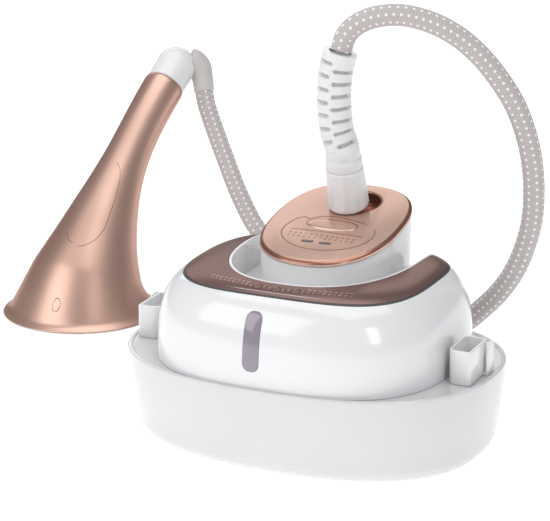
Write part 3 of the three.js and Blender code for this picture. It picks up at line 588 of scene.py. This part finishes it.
def base_tray():
    """The tray: foot, leaning side, rolled rim, flat shelf and hollow inside, with its holes at the back."""
    rim = [(1.2 - 1.2 * math.cos(t), 81.3 + 1.2 * math.sin(t)) for t in np.linspace(0.2, math.pi / 2, 6)]
    lip = [(3.1, 82.5), (3.6, 82.4), (3.95, 82.05), (4.05, 81.5), (4.2, 81.15), (4.6, 81)]
    inner = [(inset, min(z, SHELF_Z - 2.6)) for inset, z in tray_side(-TRAY["wall"], 8, 6)][::-1]
    outside, inside = [flat_rings(TRAY["a"], TRAY["b"], TRAY["n"], levels, 200)
                       for levels in (tray_side(0, TRAY["low"]) + rim + lip, inner)]
    foot = flat_rings(125, 82, TRAY["n"], [(0, 5), (0, 2.3), (0, 1.8)], 200)
    shelf = flat_rings(127, 113, DOME["n"], [(0, SHELF_Z), (0, SHELF_Z - 2.6)], 200)
    obj = loft("base_tray_body", foot + outside + shelf + inside)
    for x in GLANDS.values():
        boolean(obj, loft("bore", along_y(lathe_rings([(10.4, 95), (10.4, 130)]), x, GLAND_Z)))
    c, s = math.cos(INLET["turn"]), math.sin(INLET["turn"])
    width, height = INLET["half_width"], INLET["half_height"]
    opening = rounded_rect(-width, width, -height, height, [1] * 4, 3)
    rings = [facing_y(opening, y) for y in (-20, 12)]
    boolean(obj, loft("inlet_hole", moved(rings, INLET["spot"], [[c, -s, 0], [s, c, 0], [0, 0, 1]])))
    # the tray takes the greyer copy of the gloss white: painted shade
    place(obj, "station", ["base_tray"], WHITE_SHADED_BASE, 40)


def glands():
    """The hose glands: a flange on the tray's back, then a ribbed sleeve that narrows to the hose."""
    profile = [(0, 106), (10, 106), (10, 112), (15, 112), (15, 124.6), (14.6, 125.6), (13.8, 126)]
    rib = [(1.1, 0), (1.1, 1.2), (0.2, 1.6), (0, 2.1), (0, 3.3), (0.2, 3.8)]
    for i in range(5):
        profile += [(13.5 - 0.47 * i - inset, 127.4 + 4.4 * i + y) for inset, y in rib]
    profile += [(10.9, 150), (11, 151.4), (10.7, 152), (10.35, 152), (10.35, 147.6), (0, 147.6)]
    for node, x in GLANDS.items():
        obj = loft(node + "_body", along_y(lathe_rings(profile, 72), x, GLAND_Z))
        place(obj, "station", [node], WHITE_SATIN, 40)


def housing():
    """The domed shell, with a seat for the panel and openings for the dock and the water window."""
    obj = dome("housing_body", 0, DOME["low"], 30, 200)
    boolean(obj, dome("hollow", -DOME["wall"], 60))
    seat = prism(PANEL, 1.9, 100)
    boolean(seat, dome("seat_floor", -PANEL["thick"] + PANEL["proud"] - GAP, 60))
    boolean(obj, seat)
    boolean(obj, prism(DOCK, DOCK["wall"] + GAP, DOCK["base"] - GAP))
    boolean(obj, window_prism(GAP))
    place(obj, "station", ["housing_shell"], WHITE, 30)


def panel():
    obj = panel_layer("panel_skin", PANEL["proud"], PANEL["thick"], 0)
    place(obj, "station", ["control_panel"], MAUVE, 30)
    seal = panel_layer("panel_seal", 0.2, 2.2, 1.6, GAP)
    place(seal, "station", ["panel_gasket"], DARK, 30)


def dock():
    obj = prism(DOCK, DOCK["wall"], DOCK["base"])
    obj.name = "dock_cup"
    boolean(obj, dome("cap", 0.4, 60), "INTERSECT")
    boolean(obj, prism(DOCK, 0, DOCK["floor"]))
    boolean(obj, loft("well", moved(lathe_rings([(13, 120), (13, 140)]), (0, FILLER_Y, 0))))
    place(obj, "station", ["dock_liner"], WHITE_PART, 30)


def water_window():
    obj = window_prism(0)
    obj.name = "water_window_lens"
    boolean(obj, dome("lens_skin", PANEL["proud"], 60), "INTERSECT")
    boolean(obj, dome("lens_under", -DOME["wall"], 50))
    modify(obj, "BEVEL", width=0.35 * MM, segments=2, limit_method="ANGLE", angle_limit=math.radians(40))
    place(obj, "station", ["water_window"], SMOKE, 40)


def on_dome(rings, x, y):
    """Sets rings on the housing, square to its surface there."""
    across = float(dome_height(x + 0.5, y) - dome_height(x - 0.5, y))
    ahead = float(dome_height(x, y + 0.5) - dome_height(x, y - 0.5))
    turn = Vector((0, 0, 1)).rotation_difference(Vector((-across, -ahead, 1))).to_matrix()
    return moved(rings, (x, y, float(dome_height(x, y))), turn)


def keys():
    profile = [(0, -1.3), (4.6, -1.3), (4.6, 0.6), (4.45, 0.87), (4.1, 1.0), (3.5, 1.0), (3.3, 0.9),
               (3.1, 0.75), (1.5, 0.7), (0, 0.7)]
    for body, (node, x, y) in KEYS.items():
        obj = loft(node + "_cap", on_dome(lathe_rings(profile, 40), x, y))
        place(obj, body, [node], MAUVE, 40)


SOCKET = {"x0": 139, "x1": 161, "y0": -36, "y1": 8, "low": SHELF_Z + GAP, "high": 112, "wall": 2.6}
EAR = {"x0": 163.2, "x1": 165.2, "y0": -4, "y1": 12}


def socket(name, node, side):
    """An accessory cup on the side shelf, with a thin ear standing beside it."""
    x0, x1, y0, y1, low, high, wall = SOCKET.values()

    def ring(inset, z):
        radii = [max(0.6, r - inset) for r in (9, 2.5, 4, 5)]
        outline = rounded_rect(x0 + inset, x1 - inset, y0 + inset, y1 - inset, radii)
        return np.column_stack([side * outline[:, 0], outline[:, 1], np.full(len(outline), z)])

    levels = [(0.4, low), (0, low + 0.5), (0, high - 1.1), (0.15, high - 0.5), (0.55, high - 0.1),
              (1.1, high), (wall - 0.8, high), (wall - 0.25, high - 0.25), (wall, high - 0.9),
              (wall + 0.25, low + 3.2), (wall + 1.2, low + 2.5)]
    obj = loft(name, [ring(*pair) for pair in levels])
    plate = rounded_rect(EAR["y0"], EAR["y1"], low, high - 1, [0.6, 0.6, 5, 2], 5)
    centre = plate.mean(axis=0)
    rings = []
    for x, inset in ((EAR["x0"], 0.4), (EAR["x0"] + 0.4, 0), (EAR["x1"] - 0.4, 0), (EAR["x1"], 0.4)):
        shrunk = centre + (plate - centre) * (1 - inset / 8)
        rings.append(np.column_stack([np.full(len(plate), side * x), shrunk]))
    boolean(obj, loft("ear", rings), "UNION")
    web = rounded_rect(x1 - 2, EAR["x0"] + 0.6, EAR["y0"] + 0.4, EAR["y1"] - 7, [0.4] * 4, 3)
    web[:, 0] *= side
    boolean(obj, loft("web", [at_height(web, low), at_height(web, low + 3)]), "UNION")
    place(obj, "station", [node], WHITE, 40)


def sockets():
    for end, side in (("right", 1), ("left", -1)):
        socket(f"socket_{end}_cup", f"socket_{end}", side)


def on_filler_pin(radius, half, count):
    """A round bar on the filler lid's hinge line."""
    rings = np.asarray(lathe_rings([(radius, -half), (radius, half)], count))
    y, z = FILLER_PIN
    return loft("bar", np.stack([rings[..., 2], rings[..., 0] + y, rings[..., 1] + z], axis=-1))


def filler_lid():
    """The flap over the water filler: a shallow dished cap with a finger tab and a hinge knuckle."""
    profile = [(0, 136.1), (12.8, 136.1), (13.2, 136.5), (13.2, 138), (12.8, 138.5), (12.2, 138.6),
               (10.6, 138.6), (10.1, 138.3), (5, 138.1), (0, 138.1)]
    obj = loft("filler_flap_cap", moved(lathe_rings(profile, 64), (0, FILLER_Y, 0)))
    arm = rounded_rect(-8, 8, FILLER_PIN[0], -60, [0.8] * 4, 3)
    boolean(obj, loft("arm", [at_height(arm, 136.8), at_height(arm, 138.55)]), "UNION")
    tab = rounded_rect(-5, 5, -46, -38.5, [0.5, 0.5, 2.4, 2.4], 5)
    boolean(obj, loft("tab", [at_height(tab, 136.6), at_height(tab, 138.3)]), "UNION")
    boolean(obj, on_filler_pin(2.6, 8.6, 32), "UNION")
    boolean(obj, on_filler_pin(1.6, 13, 20))
    place(obj, "filler_flap", ["filler_lid"], WHITE_SATIN, 35)


# ---- iron head ----
HEAD = {"half": 62, "front": 79, "back": 81, "y": 43, "n_front": 2.3, "n_back": 2.6, "low": 141, "wall": 3}
SLOPE = 0.19
PLATE_Z = 181
HOSE_LEAN = math.radians(15)
HOSE_FOOT = (0, 74, 195)
BUTTON = {"y": 36, "a": 24, "b": 10}
HEAD_WINDOWS = {"head_window_left": -9, "head_window_right": 8}  # each window's place along X
HEAD_WINDOW_Y = 1
RECESS = {"x": 2.5, "y": 85, "r": 24.6, "floor": 11.5}


def plate_z(y):
    return PLATE_Z + SLOPE * y


def under_plate(drop):
    return lambda y: plate_z(y) - drop


def head_ring(inset, height, count=180):
    """The head's outline, drawn in by an inset, at one height or at a height that follows Y."""
    t = np.linspace(0, 2 * np.pi, count, endpoint=False)
    front = np.sin(t) < 0
    n = np.where(front, HEAD["n_front"], HEAD["n_back"])
    length = np.where(front, HEAD["front"], HEAD["back"]) - inset
    x = (HEAD["half"] - inset) * np.sign(np.cos(t)) * np.abs(np.cos(t)) ** (2 / n)
    y = HEAD["y"] + length * np.sign(np.sin(t)) * np.abs(np.sin(t)) ** (2 / n)
    z = height(y) if callable(height) else np.full(count, float(height))
    return np.column_stack([x, y, z])


def tilted(rings, angle, shift):
    """Leans rings back about the X axis and moves them."""
    c, s = math.cos(angle), math.sin(angle)
    return moved(rings, shift, [[1, 0, 0], [0, c, -s], [0, s, c]])


def on_hose_axis(rings):
    return tilted(rings, HOSE_LEAN, HOSE_FOOT)


def on_plate(rings, x, y):
    return tilted(rings, math.atan(SLOPE), (x, y, plate_z(y)))


def recess_cutter():
    rings = lathe_rings([(RECESS["r"], -30), (RECESS["r"], 40)], 96)
    return loft("recess", on_plate(rings, RECESS["x"], RECESS["y"]))


def head_body():
    """The head's wall: a ring with a rabbet at the top that the plate sits in."""
    foot = [(2.2, 141), (1.1, 142.6), (0.55, 144.6), (0.4, 147)]
    rabbet = [(0.4, 6.3), (0.7, 5.5), (1.2, 5.3), (14, 5.3), (14, 7.5), (4.2, 8.3)]
    levels = foot + [(inset, under_plate(drop)) for inset, drop in rabbet] + [(5, 141)]
    obj = loft("head_wall", [head_ring(*level) for level in levels], closed=True)
    boolean(obj, recess_cutter())
    place(obj, "head", ["head_shell"], WHITE, 35)


def head_plate():
    """The sloping top plate, with painted shade on its edge and on the sides of its holes (a darker copy of
    its paint).
    """
    levels = [(0.3, 5), (0, 4.7), (0, 2.6), (0.15, 2.1), (0.5, 1.6), (2.4, 0.35), (2.9, 0.08), (3.3, 0)]
    count = 180
    obj = loft("head_plate_skin", [head_ring(inset, under_plate(drop), count) for inset, drop in levels])
    windows = [on_plate(flat_rings(5.7, 2.5, 3.5, [(0, -2.6), (0, 3)], 48), x, HEAD_WINDOW_Y)
               for x in HEAD_WINDOWS.values()]
    button = on_plate(flat_rings(24.4, 10.4, 2.4, [(0, -9), (0, 3)]), 0, BUTTON["y"])
    cutters = [recess_cutter(), *[loft("hole", rings) for rings in (button, *windows)]]
    for piece in (obj, *cutters):
        piece.data.materials.append(ROSE)
        piece.data.materials.append(ROSE_SHADE_AND_PRINT)
    # the rings of the plate's rounded edge take the darker paint: painted shade
    for i, polygon in enumerate(obj.data.polygons):
        polygon.material_index = 2 <= i // count < 6
    # the sides of the holes take the darker paint: painted shade
    for cutter in cutters:
        for polygon in cutter.data.polygons:
            polygon.material_index = 1
        boolean(obj, cutter)
    finishes = [polygon.material_index for polygon in obj.data.polygons]
    place(obj, "head", ["head_top_plate"], ROSE, 30)
    obj.data.materials.append(ROSE_SHADE_AND_PRINT)
    obj.data.polygons.foreach_set("material_index", finishes)


def head_controls():
    """The steam button's oval pad and the two small windows."""
    levels = [(0.3, -4.6), (0, -4.2), (0, -0.5), (0.15, -0.1), (0.5, 0.15), (1.2, 0.28), (4, 0.38), (8, 0.4)]
    pad = flat_rings(BUTTON["a"], BUTTON["b"], 2.4, levels)
    button = loft("steam_button_cap", on_plate(pad, 0, BUTTON["y"]))
    place(button, "steam_trigger", ["steam_button"], ROSE, 35)
    levels = [(0, -2.2), (0, -0.1), (0.12, 0.1), (0.4, 0.2), (1.6, 0.2)]
    for node, x in HEAD_WINDOWS.items():
        lens = loft(node + "_lens", on_plate(flat_rings(5.4, 2.2, 3.5, levels, 48), x, HEAD_WINDOW_Y))
        place(lens, "head", [node], DISPLAY, 40)


def stroke(points, width, surface, lift=0.12, sink=0.5):
    """A thin printed line that follows a surface: four edges along a smooth path."""
    path = np.asarray(points, float)
    along = np.gradient(path, axis=0)
    along /= np.linalg.norm(along, axis=1)[:, None]
    side = np.column_stack([-along[:, 1], along[:, 0]]) * width / 2
    left, right = path + side, path - side
    rings = [np.column_stack([edge, surface(edge[:, 0], edge[:, 1]) + dz])
             for edge, dz in ((left, -sink), (left, lift), (right, lift), (right, -sink))]
    return np.stack(rings, axis=1)


def marks(name, strokes, body, material):
    """All the printed lines of one surface as one piece."""
    verts, faces = [], []
    for rings in strokes:
        start = sum(len(v) for v in verts)
        end = start + 4 * len(rings)
        verts.append(rings.reshape(-1, 3))
        for a in range(start, end - 4, 4):
            for j in range(4):
                k = (j + 1) % 4
                faces.append((a + j, a + k, a + 4 + k, a + 4 + j))
        faces += [tuple(range(start + 3, start - 1, -1)), tuple(range(end - 4, end))]
    place(make(name, np.vstack(verts), faces), body, [], material, 30)


def plate_surface(_, y):
    return plate_z(y)


def smooth_line(points, step=1.0):
    """A flat curve through a few points."""
    line, _ = curve([(x, y, 0) for x, y in points], step)
    return line[:, :2]


def dash(x0, y0, x1, y1, width, surface):
    """A short straight stroke."""
    return stroke(smooth_line([(x0, y0), (x1, y1)], 0.6), width, surface)


def head_marks():
    """The plate's engraved oval, a wavy line over the button, and rows of plain ticks and dashes."""
    angle = np.radians(np.linspace(-204, 24, 90))
    oval = np.column_stack([2 + 43 * np.cos(angle), 22 + 35 * np.sin(angle)])
    wave = smooth_line([(-38, 38), (-31, 45), (-25, 43), (-15, 50), (0, 51), (17, 48.5), (30, 45)])
    bar = smooth_line([(-34, 20.5), (0, 21.5), (36, 20.5)])
    strokes = [stroke(line, 1.1, plate_surface) for line in (oval, wave, bar)]
    for i in range(13):
        x = -31 + 5.1 * i
        strokes.append(dash(x, 12.5, x, 15.5, 1.1, plate_surface))
        strokes.append(dash(x - 0.9, 8.8, x + 0.9, 8.8, 1.3, plate_surface))
    marks("head_plate_lines", strokes, "head", ROSE_SHADE_AND_PRINT)


def panel_surface(x, y):
    return dome_height(x, y) + PANEL["proud"]


def panel_marks():
    """Short copper strokes beside the keys, and a fine pale line along the panel's front edge that is a
    painted highlight.
    """
    strokes = []
    for _, x, y in KEYS.values():
        for dx in (-6.4, 6.4):
            strokes.append(dash(x + dx, y - 2.2, x + dx, y + 2.2, 0.7, panel_surface))
    for side in (-1, 1):
        for i in range(9):
            x = side * (29 + 4.6 * i)
            y = -83.5 + 0.028 * (abs(x) - 25) ** 1.5
            half = 1.6 - 0.55 * (i % 3)
            strokes.append(dash(x, y - half, x + 0.8, y + half, 0.9, panel_surface))
            strokes.append(dash(x - 1.6, y + 4.6, x + 1.4, y + 4.5, 0.8, panel_surface))
    marks("panel_marks", strokes, "station", ROSE)
    # a pale stroke just inside the panel's front edge: a painted highlight
    ring = superellipse(PANEL["a"] - 3.4, PANEL["b"] - 3.4, PANEL["n"], 0, PANEL["y"], 240)
    front = np.roll(ring, -120, axis=0)
    front = front[front[:, 1] < 30]
    marks("panel_edge_highlight", [stroke(front, 0.55, panel_surface)], "station", RIM)


def spigot():
    """A dished recess in the plate, and the stem that the coupling nut turns on, in the darker rose paint as
    painted shade in the recess.
    """
    r, floor = RECESS["r"] - 0.4, RECESS["floor"]
    dish = [(0, -16), (r - 0.4, -16), (r, -15.6), (r, -0.5), (r - 0.3, -0.15), (r - 1.1, -0.1),
            (r - 1.6, -0.6), (r - 2.3, -floor + 1.4), (r - 2.9, -floor + 0.3), (r - 4, -floor), (0, -floor)]
    obj = loft("recess_dish", on_plate(lathe_rings(dish, 96), RECESS["x"], RECESS["y"]))
    boss = lathe_rings([(12.7, -13), (12.7, 35.4), (12.2, 36), (10.4, 36), (10.4, 30)], 64)
    boolean(obj, loft("boss", on_hose_axis(boss)), "UNION")
    # the darker rose paint here is painted shade in the recess
    place(obj, "head", ["hose_spigot"], ROSE_SHADE_AND_PRINT, 35)


NUT = {"low": 2, "high": 42, "r_low": 19.5, "r_high": 17.5, "bore": 13.2, "sides": 12}


def nut():
    """Twelve softened flats that narrow upwards, chamfered at both ends, with a bore."""
    count = 240
    t = np.linspace(0, 2 * np.pi, count, endpoint=False)
    facet = 2 * np.pi / NUT["sides"]
    local = (t + facet / 2) % facet - facet / 2
    softened = np.minimum(math.cos(facet / 2) / np.cos(local), 0.995)

    def ring(z, trim):
        radius = NUT["r_low"] + (NUT["r_high"] - NUT["r_low"]) * (z - NUT["low"]) / (NUT["high"] - NUT["low"])
        r = np.minimum(radius * softened, radius - trim)
        return np.column_stack([r * np.cos(t), r * np.sin(t), np.full(count, z)])

    def bore(z, radius=NUT["bore"]):
        return np.column_stack([radius * np.cos(t), radius * np.sin(t), np.full(count, z)])

    levels = [(2, 2.2), (2.4, 1.7), (3.8, 0.9), (6, 0), (38.5, 0), (40.6, 0.5), (41.7, 1.2), (42, 2)]
    rings = [ring(*pair) for pair in levels] + [bore(42, 13.8), bore(41.4), bore(2.6), bore(2, 13.8)]
    obj = loft("nut_body", on_hose_axis(rings), closed=True)
    place(obj, "hose_nut", ["coupling_nut"], WHITE_PART, 10)


RELIEF = {"ring": 12, "r": 15.6, "bore": 10.4, "pitch": 11.7, "slot": 3.4, "half_turn": 39}
RELIEF_ROUTE = [(-5, 56, 272), (-6.4, 54.5, 290), (-6.4, 53.4, 308), (-4.6, 53, 326), (-1, 53.6, 343)]


def axis_point(s):
    return (0, HOSE_FOOT[1] - s * math.sin(HOSE_LEAN), HOSE_FOOT[2] + s * math.cos(HOSE_LEAN))


def slot_depth(along, angle):
    """How deep the sleeve is cut, 0 to 1: slots on four sides, those of each pair half a pitch apart."""
    column = np.round(angle / 90)
    local = np.abs(angle - 90 * column)
    phase = (along[:, None] - 13) / RELIEF["pitch"] + np.where(column % 2 == 0, 0.0, 0.5)[None, :]
    distance = np.abs(phase - np.round(phase)) * RELIEF["pitch"]
    end = np.clip((local - RELIEF["half_turn"] + 6) / 6, 0, 1)
    half = RELIEF["slot"] / 2 * np.sqrt(1 - end ** 2)[None, :]
    clear = (along[:, None] > 9) & (along[:, None] < along[-1] - 8)
    return np.clip((half - distance) / 0.45 + 0.5, 0, 1) * clear


def relief():
    """The bend relief: a plain ring, then a sleeve with staggered slots through which the hose shows."""
    start = NUT["high"] + 0.4
    collar_line = np.array([axis_point(start + k) for k in np.linspace(0, RELIEF["ring"] - 1, 8)])
    route = [axis_point(start + RELIEF["ring"] + k) for k in (-1, 6)] + RELIEF_ROUTE
    line, along = curve(route, 0.5)
    count = 144
    angle = np.linspace(-180, 180, count, endpoint=False)
    depth = slot_depth(along, angle)
    lip = np.clip((along - along[-1] + 5) / 5, 0, 1)[:, None]
    radius = RELIEF["r"] - 3.4 * depth + 0.35 * lip
    radius[-1] -= 0.5
    side, other = frames(line)
    t = np.radians(angle)
    around = np.cos(t)[None, :, None] * side[:, None] + np.sin(t)[None, :, None] * other[:, None]
    collar_radii = np.array([16.2, 16.8, 16.8, 16.8, 16.8, 16.8, 16.6, 15.9])
    collar = collar_line[:, None] + collar_radii[:, None, None] * around[:1]
    sleeve = line[:, None] + radius[..., None] * around
    bore = line[[-1, -8], None] + RELIEF["bore"] * around[[-1, -1]]
    obj = loft("relief_sleeve", np.vstack([collar, sleeve, bore]))
    cut = depth > 0.6
    turned = np.roll(cut, -1, axis=1)
    inside = cut[:-1] & cut[1:] & turned[:-1] & turned[1:]
    finishes = np.zeros(len(obj.data.polygons), int)
    begin = len(collar) * count
    finishes[begin:begin + inside.size] = inside.ravel()
    place(obj, "head", ["strain_relief"], WHITE_PART, 40)
    obj.data.materials.append(SLEEVE)
    obj.data.polygons.foreach_set("material_index", finishes)


# ---- horn handpiece ----
HORN = {"x": -368, "y": 228, "turn": math.radians(79.7), "wall": 2.5, "start": 0.07, "throat": 0.3}
HORN_AXIS = ((0, 0), (0, 22.8), (37.7, 124.4), (147.2, 214.3))
HORN_RADII = ((0, 82.9), (0.06, 77.4), (0.15, 70.2), (0.3, 57.9), (0.5, 40.5), (0.75, 24), (1, 22))
HORN_OUT = np.array([math.cos(HORN["turn"]), math.sin(HORN["turn"]), 0])
HORN_FOOT = np.array([HORN["x"], HORN["y"], 0])
HORN_SPAN = 400  # stretches the share of the axis to about millimetres, so that marks are evenly drawn


def horn_point(t):
    """A point on the horn's axis, a cubic curve in its own upright plane."""
    s = 1 - t
    weights = np.array([s ** 3, 3 * s * s * t, 3 * s * t * t, t ** 3])
    out, up = weights @ np.array(HORN_AXIS, float)
    return HORN_FOOT + out * HORN_OUT + (0, 0, up)


def horn_circle(centre, outward, radius, count):
    """A ring that starts on the side the horn leans to."""
    across = np.array([-HORN_OUT[1], HORN_OUT[0], 0])
    turn = np.linspace(0, 2 * np.pi, count, endpoint=False)[:, None]
    return centre + radius * (np.cos(turn) * outward + np.sin(turn) * across)


def horn_radius(t):
    """The radius along the axis, through the given radii with a smooth slope."""
    at, radius = np.array(HORN_RADII).T
    slope = np.gradient(radius, at)
    slope[-1] = -2
    i = int(np.clip(np.searchsorted(at, t) - 1, 0, len(at) - 2))
    width = at[i + 1] - at[i]
    u = (t - at[i]) / width
    return ((2 * u ** 3 - 3 * u ** 2 + 1) * radius[i] + (u ** 3 - 2 * u ** 2 + u) * width * slope[i]
            + (3 * u ** 2 - 2 * u ** 3) * radius[i + 1] + (u ** 3 - u ** 2) * width * slope[i + 1])


def horn_ring(t, inset, count=128):
    """A ring of the horn's skin: level at the mouth, and square to the axis from the throat on."""
    along = horn_point(min(t + 0.01, 1)) - horn_point(t - 0.01)
    eased = min(1, (t - HORN["start"]) / (HORN["throat"] - HORN["start"]))
    lean = eased * math.atan2(along.dot(HORN_OUT), along[2])
    outward = HORN_OUT * math.cos(lean) - (0, 0, math.sin(lean))
    return horn_circle(horn_point(t), outward, horn_radius(t) - inset, count)


def mouth_ring(radius, z, count=128):
    """A level ring between the horn's foot and the first ring of its skin."""
    start = horn_point(HORN["start"])
    centre = HORN_FOOT + min(1, z / start[2]) * (start - HORN_FOOT)
    return horn_circle((*centre[:2], z), HORN_OUT, radius, count)


def horn():
    """The hollow cone, flared at its mouth, on a thin pale rim."""
    steps = np.linspace(HORN["start"], 1, 64)
    r = horn_radius(HORN["start"])
    low = horn_point(HORN["start"])[2]
    skirt = [(79.6, 1.75), (81.9, 1.45), (82.3, 1.65), (82.2, 2.05), (81.2, 2.7), (79.6, 3.9), (r + 0.9, 5.1)]
    outer = [(t, 0) for t in steps[1:-1]] + [(0.992, 0.15), (0.998, 0.6), (1, 1.3)]
    inner = [(t, HORN["wall"]) for t in steps[::-1]]
    under = [(r - HORN["wall"] + 0.2, low - 1), (77.5, 2.4)]
    skin = [horn_ring(*pair) for pair in outer + inner]
    rings = [mouth_ring(*pair) for pair in skirt] + skin + [mouth_ring(*pair) for pair in under]
    place(loft("horn_cone", rings, closed=True), "horn", ["horn_shell"], ROSE_SATIN, 50)

    profile = [(79.5, 0), (82.5, 0), (82.9, 0.35), (82.9, 0.9), (82.5, 1.2), (79.5, 1.3), (76.5, 1.9),
               (76.3, 1.3), (78.5, 0.6)]
    rim = loft("horn_mouth_rim", moved(lathe_rings(profile, 144), HORN_FOOT), closed=True)
    place(rim, "horn", ["horn_rim"], RIM, 35)


def horn_stroke(points, width, lift=0.15, sink=0.6):
    """A thin line on the horn's skin, from points given as (along the axis, turn in degrees)."""
    path = smooth_line([(HORN_SPAN * t, turn) for t, turn in points], 1.5)
    skin = np.array([horn_ring(at / HORN_SPAN, 0, 720)[round(turn * 2) % 720] for at, turn in path])
    along = np.gradient(skin, axis=0)
    along /= np.linalg.norm(along, axis=1)[:, None]
    outward = skin - np.array([horn_point(at / HORN_SPAN) for at, _ in path])
    outward /= np.linalg.norm(outward, axis=1)[:, None]
    side = np.cross(along, outward) * width / 2
    corners = ((1, -sink), (1, lift), (-1, lift), (-1, -sink))
    return np.stack([skin + sign * side + depth * outward for sign, depth in corners], axis=1)


def horn_marks():
    """A long teardrop line on the horn's front, and a small plain circle near its rim."""
    tear = [(0.71, 202), (0.70, 212), (0.67, 222), (0.62, 226), (0.54, 226), (0.475, 223), (0.42, 213),
            (0.39, 198), (0.405, 184), (0.43, 176)]
    turns = np.linspace(0, 2 * math.pi, 17)
    circle = [(0.165 + 0.026 * math.cos(a), 195 + 3.4 * math.sin(a)) for a in turns]
    strokes = [horn_stroke(tear, 0.6), horn_stroke(circle, 0.7)]
    marks("horn_marks", strokes, "horn", ROSE_SHADE_AND_PRINT)


SLEEVE_ROUTE = [(-324.8, 400.9, 238), (-320.4, 403.6, 236.2), (-315.6, 405.8, 229.8), (-312.2, 404.4, 218),
                (-308, 399.8, 204.2)]
ELBOW = {"ball": 21.5, "reach": 25.5, "stub": 13.2}


def rod(name, start, end, r_start, r_end):
    return tube(name, np.array([start, end]), [r_start, r_end], 64)


def elbow():
    """A ball on the neck's end with a stub on its side, blended into one knuckle, and a grey sleeve."""
    neck_end = horn_point(1)
    along = neck_end - horn_point(0.99)
    along /= np.linalg.norm(along)
    centre = neck_end + ELBOW["reach"] * along
    obj = rod("knuckle_body", neck_end + 0.4 * along, centre, 21, ELBOW["ball"] - 0.4)
    profile = [(ELBOW["ball"] * math.sin(a), -ELBOW["ball"] * math.cos(a))
               for a in np.linspace(0.01, math.pi - 0.01, 32)]
    boolean(obj, loft("ball", moved(lathe_rings(profile), centre)), "UNION")
    sleeve_line, _ = curve(SLEEVE_ROUTE, 1)
    out = sleeve_line[2] - sleeve_line[0]
    out /= np.linalg.norm(out)
    stub_end = sleeve_line[0] - 0.4 * out
    stub = rod("stub", centre + 0.3 * (stub_end - centre), stub_end, ELBOW["stub"], ELBOW["stub"])
    boolean(obj, stub, "UNION")
    modify(obj, "REMESH", mode="VOXEL", voxel_size=0.9 * MM)
    modify(obj, "SMOOTH", iterations=10, factor=0.5)
    place(obj, "horn", ["horn_elbow"], WHITE_PART, 80)

    line, along = curve(SLEEVE_ROUTE, 0.5)
    part = along / along[-1]
    radii = 12.4 - 1.6 * part
    radii[:3] -= (0.9, 0.4, 0.1)
    radii[-3:] -= (0.1, 0.35, 0.75)
    cuff = tube("horn_cuff", line, radii, 64)
    place(cuff, "horn", ["horn_sleeve"], SLEEVE, 50)


# ---- CAD nodes that keep their shape ----
FEET = [f"foot_{end}_{side}" for end in ("front", "rear") for side in ("left", "right")]
KEPT = [
    (GREY, ["underside_plate", "descale_plug", "pump", "dock_mat"]),
    (BLACK, [*FEET, "power_inlet", "solenoid_valve"]),
    (STEEL, ["underside_screw_left", "underside_screw_right", "filler_hinge_pin", "boiler", "steam_chamber",
             "soleplate"]),
    (BRASS, ["boiler_heater", "safety_valve", "steam_pipe_iron", "steam_pipe_horn"]),
    (BOARD, ["control_board"]),
    (WHITE_SATIN, ["filler_neck", "water_tank", "feed_tube", "horn_steam_plate", "horn_steam_tube"]),
]


def finish_kept_nodes():
    for material, nodes in KEPT:
        for node in nodes:
            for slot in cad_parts[node].material_slots:
                slot.material = material


# ---- stage ----
FLOOR_REACH = 9000
SOFT_BOXES = {  # place and target, then size in metres and power in watts
    "key_box": ((-1.4, -1.9, 1.6), (-0.12, 0.1, 0.12), (2.0, 1.9), 27),
    "fill_box": ((1.9, -1.5, 1.3), (0.0, 0.05, 0.12), (0.6, 1.3), 11),
    "top_box": ((-0.1, 0.2, 2.2), (-0.15, 0.1, 0.1), (2.4, 1.8), 25),
    "back_box": ((-1.5, 2.5, 1.5), (0, 0.05, 0.15), (2.6, 1.3), 12),
}


def softbox(name, spot, target, size, power):
    data = bpy.data.lights.new(name, "AREA")
    data.shape = "RECTANGLE"
    data.size, data.size_y = size
    data.energy = power
    light = bpy.data.objects.new(name, data)
    bpy.context.collection.objects.link(light)
    light.location = spot
    light.rotation_euler = (Vector(target) - Vector(spot)).to_track_quat("-Z", "Y").to_euler()


def stage():
    """A pale floor, a soft grey-blue surround and four soft boxes."""
    corners = [(x * FLOOR_REACH, y * FLOOR_REACH, 0) for x, y in ((-1, -1), (1, -1), (1, 1), (-1, 1))]
    floor = make("floor", corners, [(0, 1, 2, 3)])
    s = Shader("floor", Roughness=0.6, Emission_Color=(1, 1, 1, 1), Emission_Strength=0.5)
    s.color(s.ramp(s.noise(3.0, 2.0), (0.3, (0.925, 0.925, 0.925)), (0.7, (0.94, 0.94, 0.94))))
    floor.data.materials.append(s.material)
    scene = bpy.context.scene
    scene.world = bpy.data.worlds.new("studio")
    scene.world.use_nodes = True
    background = scene.world.node_tree.nodes["Background"]
    background.inputs["Color"].default_value = (0.93, 0.95, 1.0, 1)
    background.inputs["Strength"].default_value = 0.30
    scene.view_settings.view_transform = "Standard"
    scene.view_settings.look = "None"
    for name, setting in SOFT_BOXES.items():
        softbox(name, *setting)


# ---- the whole object ----
for build in (base_tray, glands, housing, panel, panel_marks, dock, water_window, keys, sockets, filler_lid,
              head_body, head_plate, head_controls, head_marks, spigot, nut, relief, horn, horn_marks, elbow,
              finish_kept_nodes, stage):
    build()
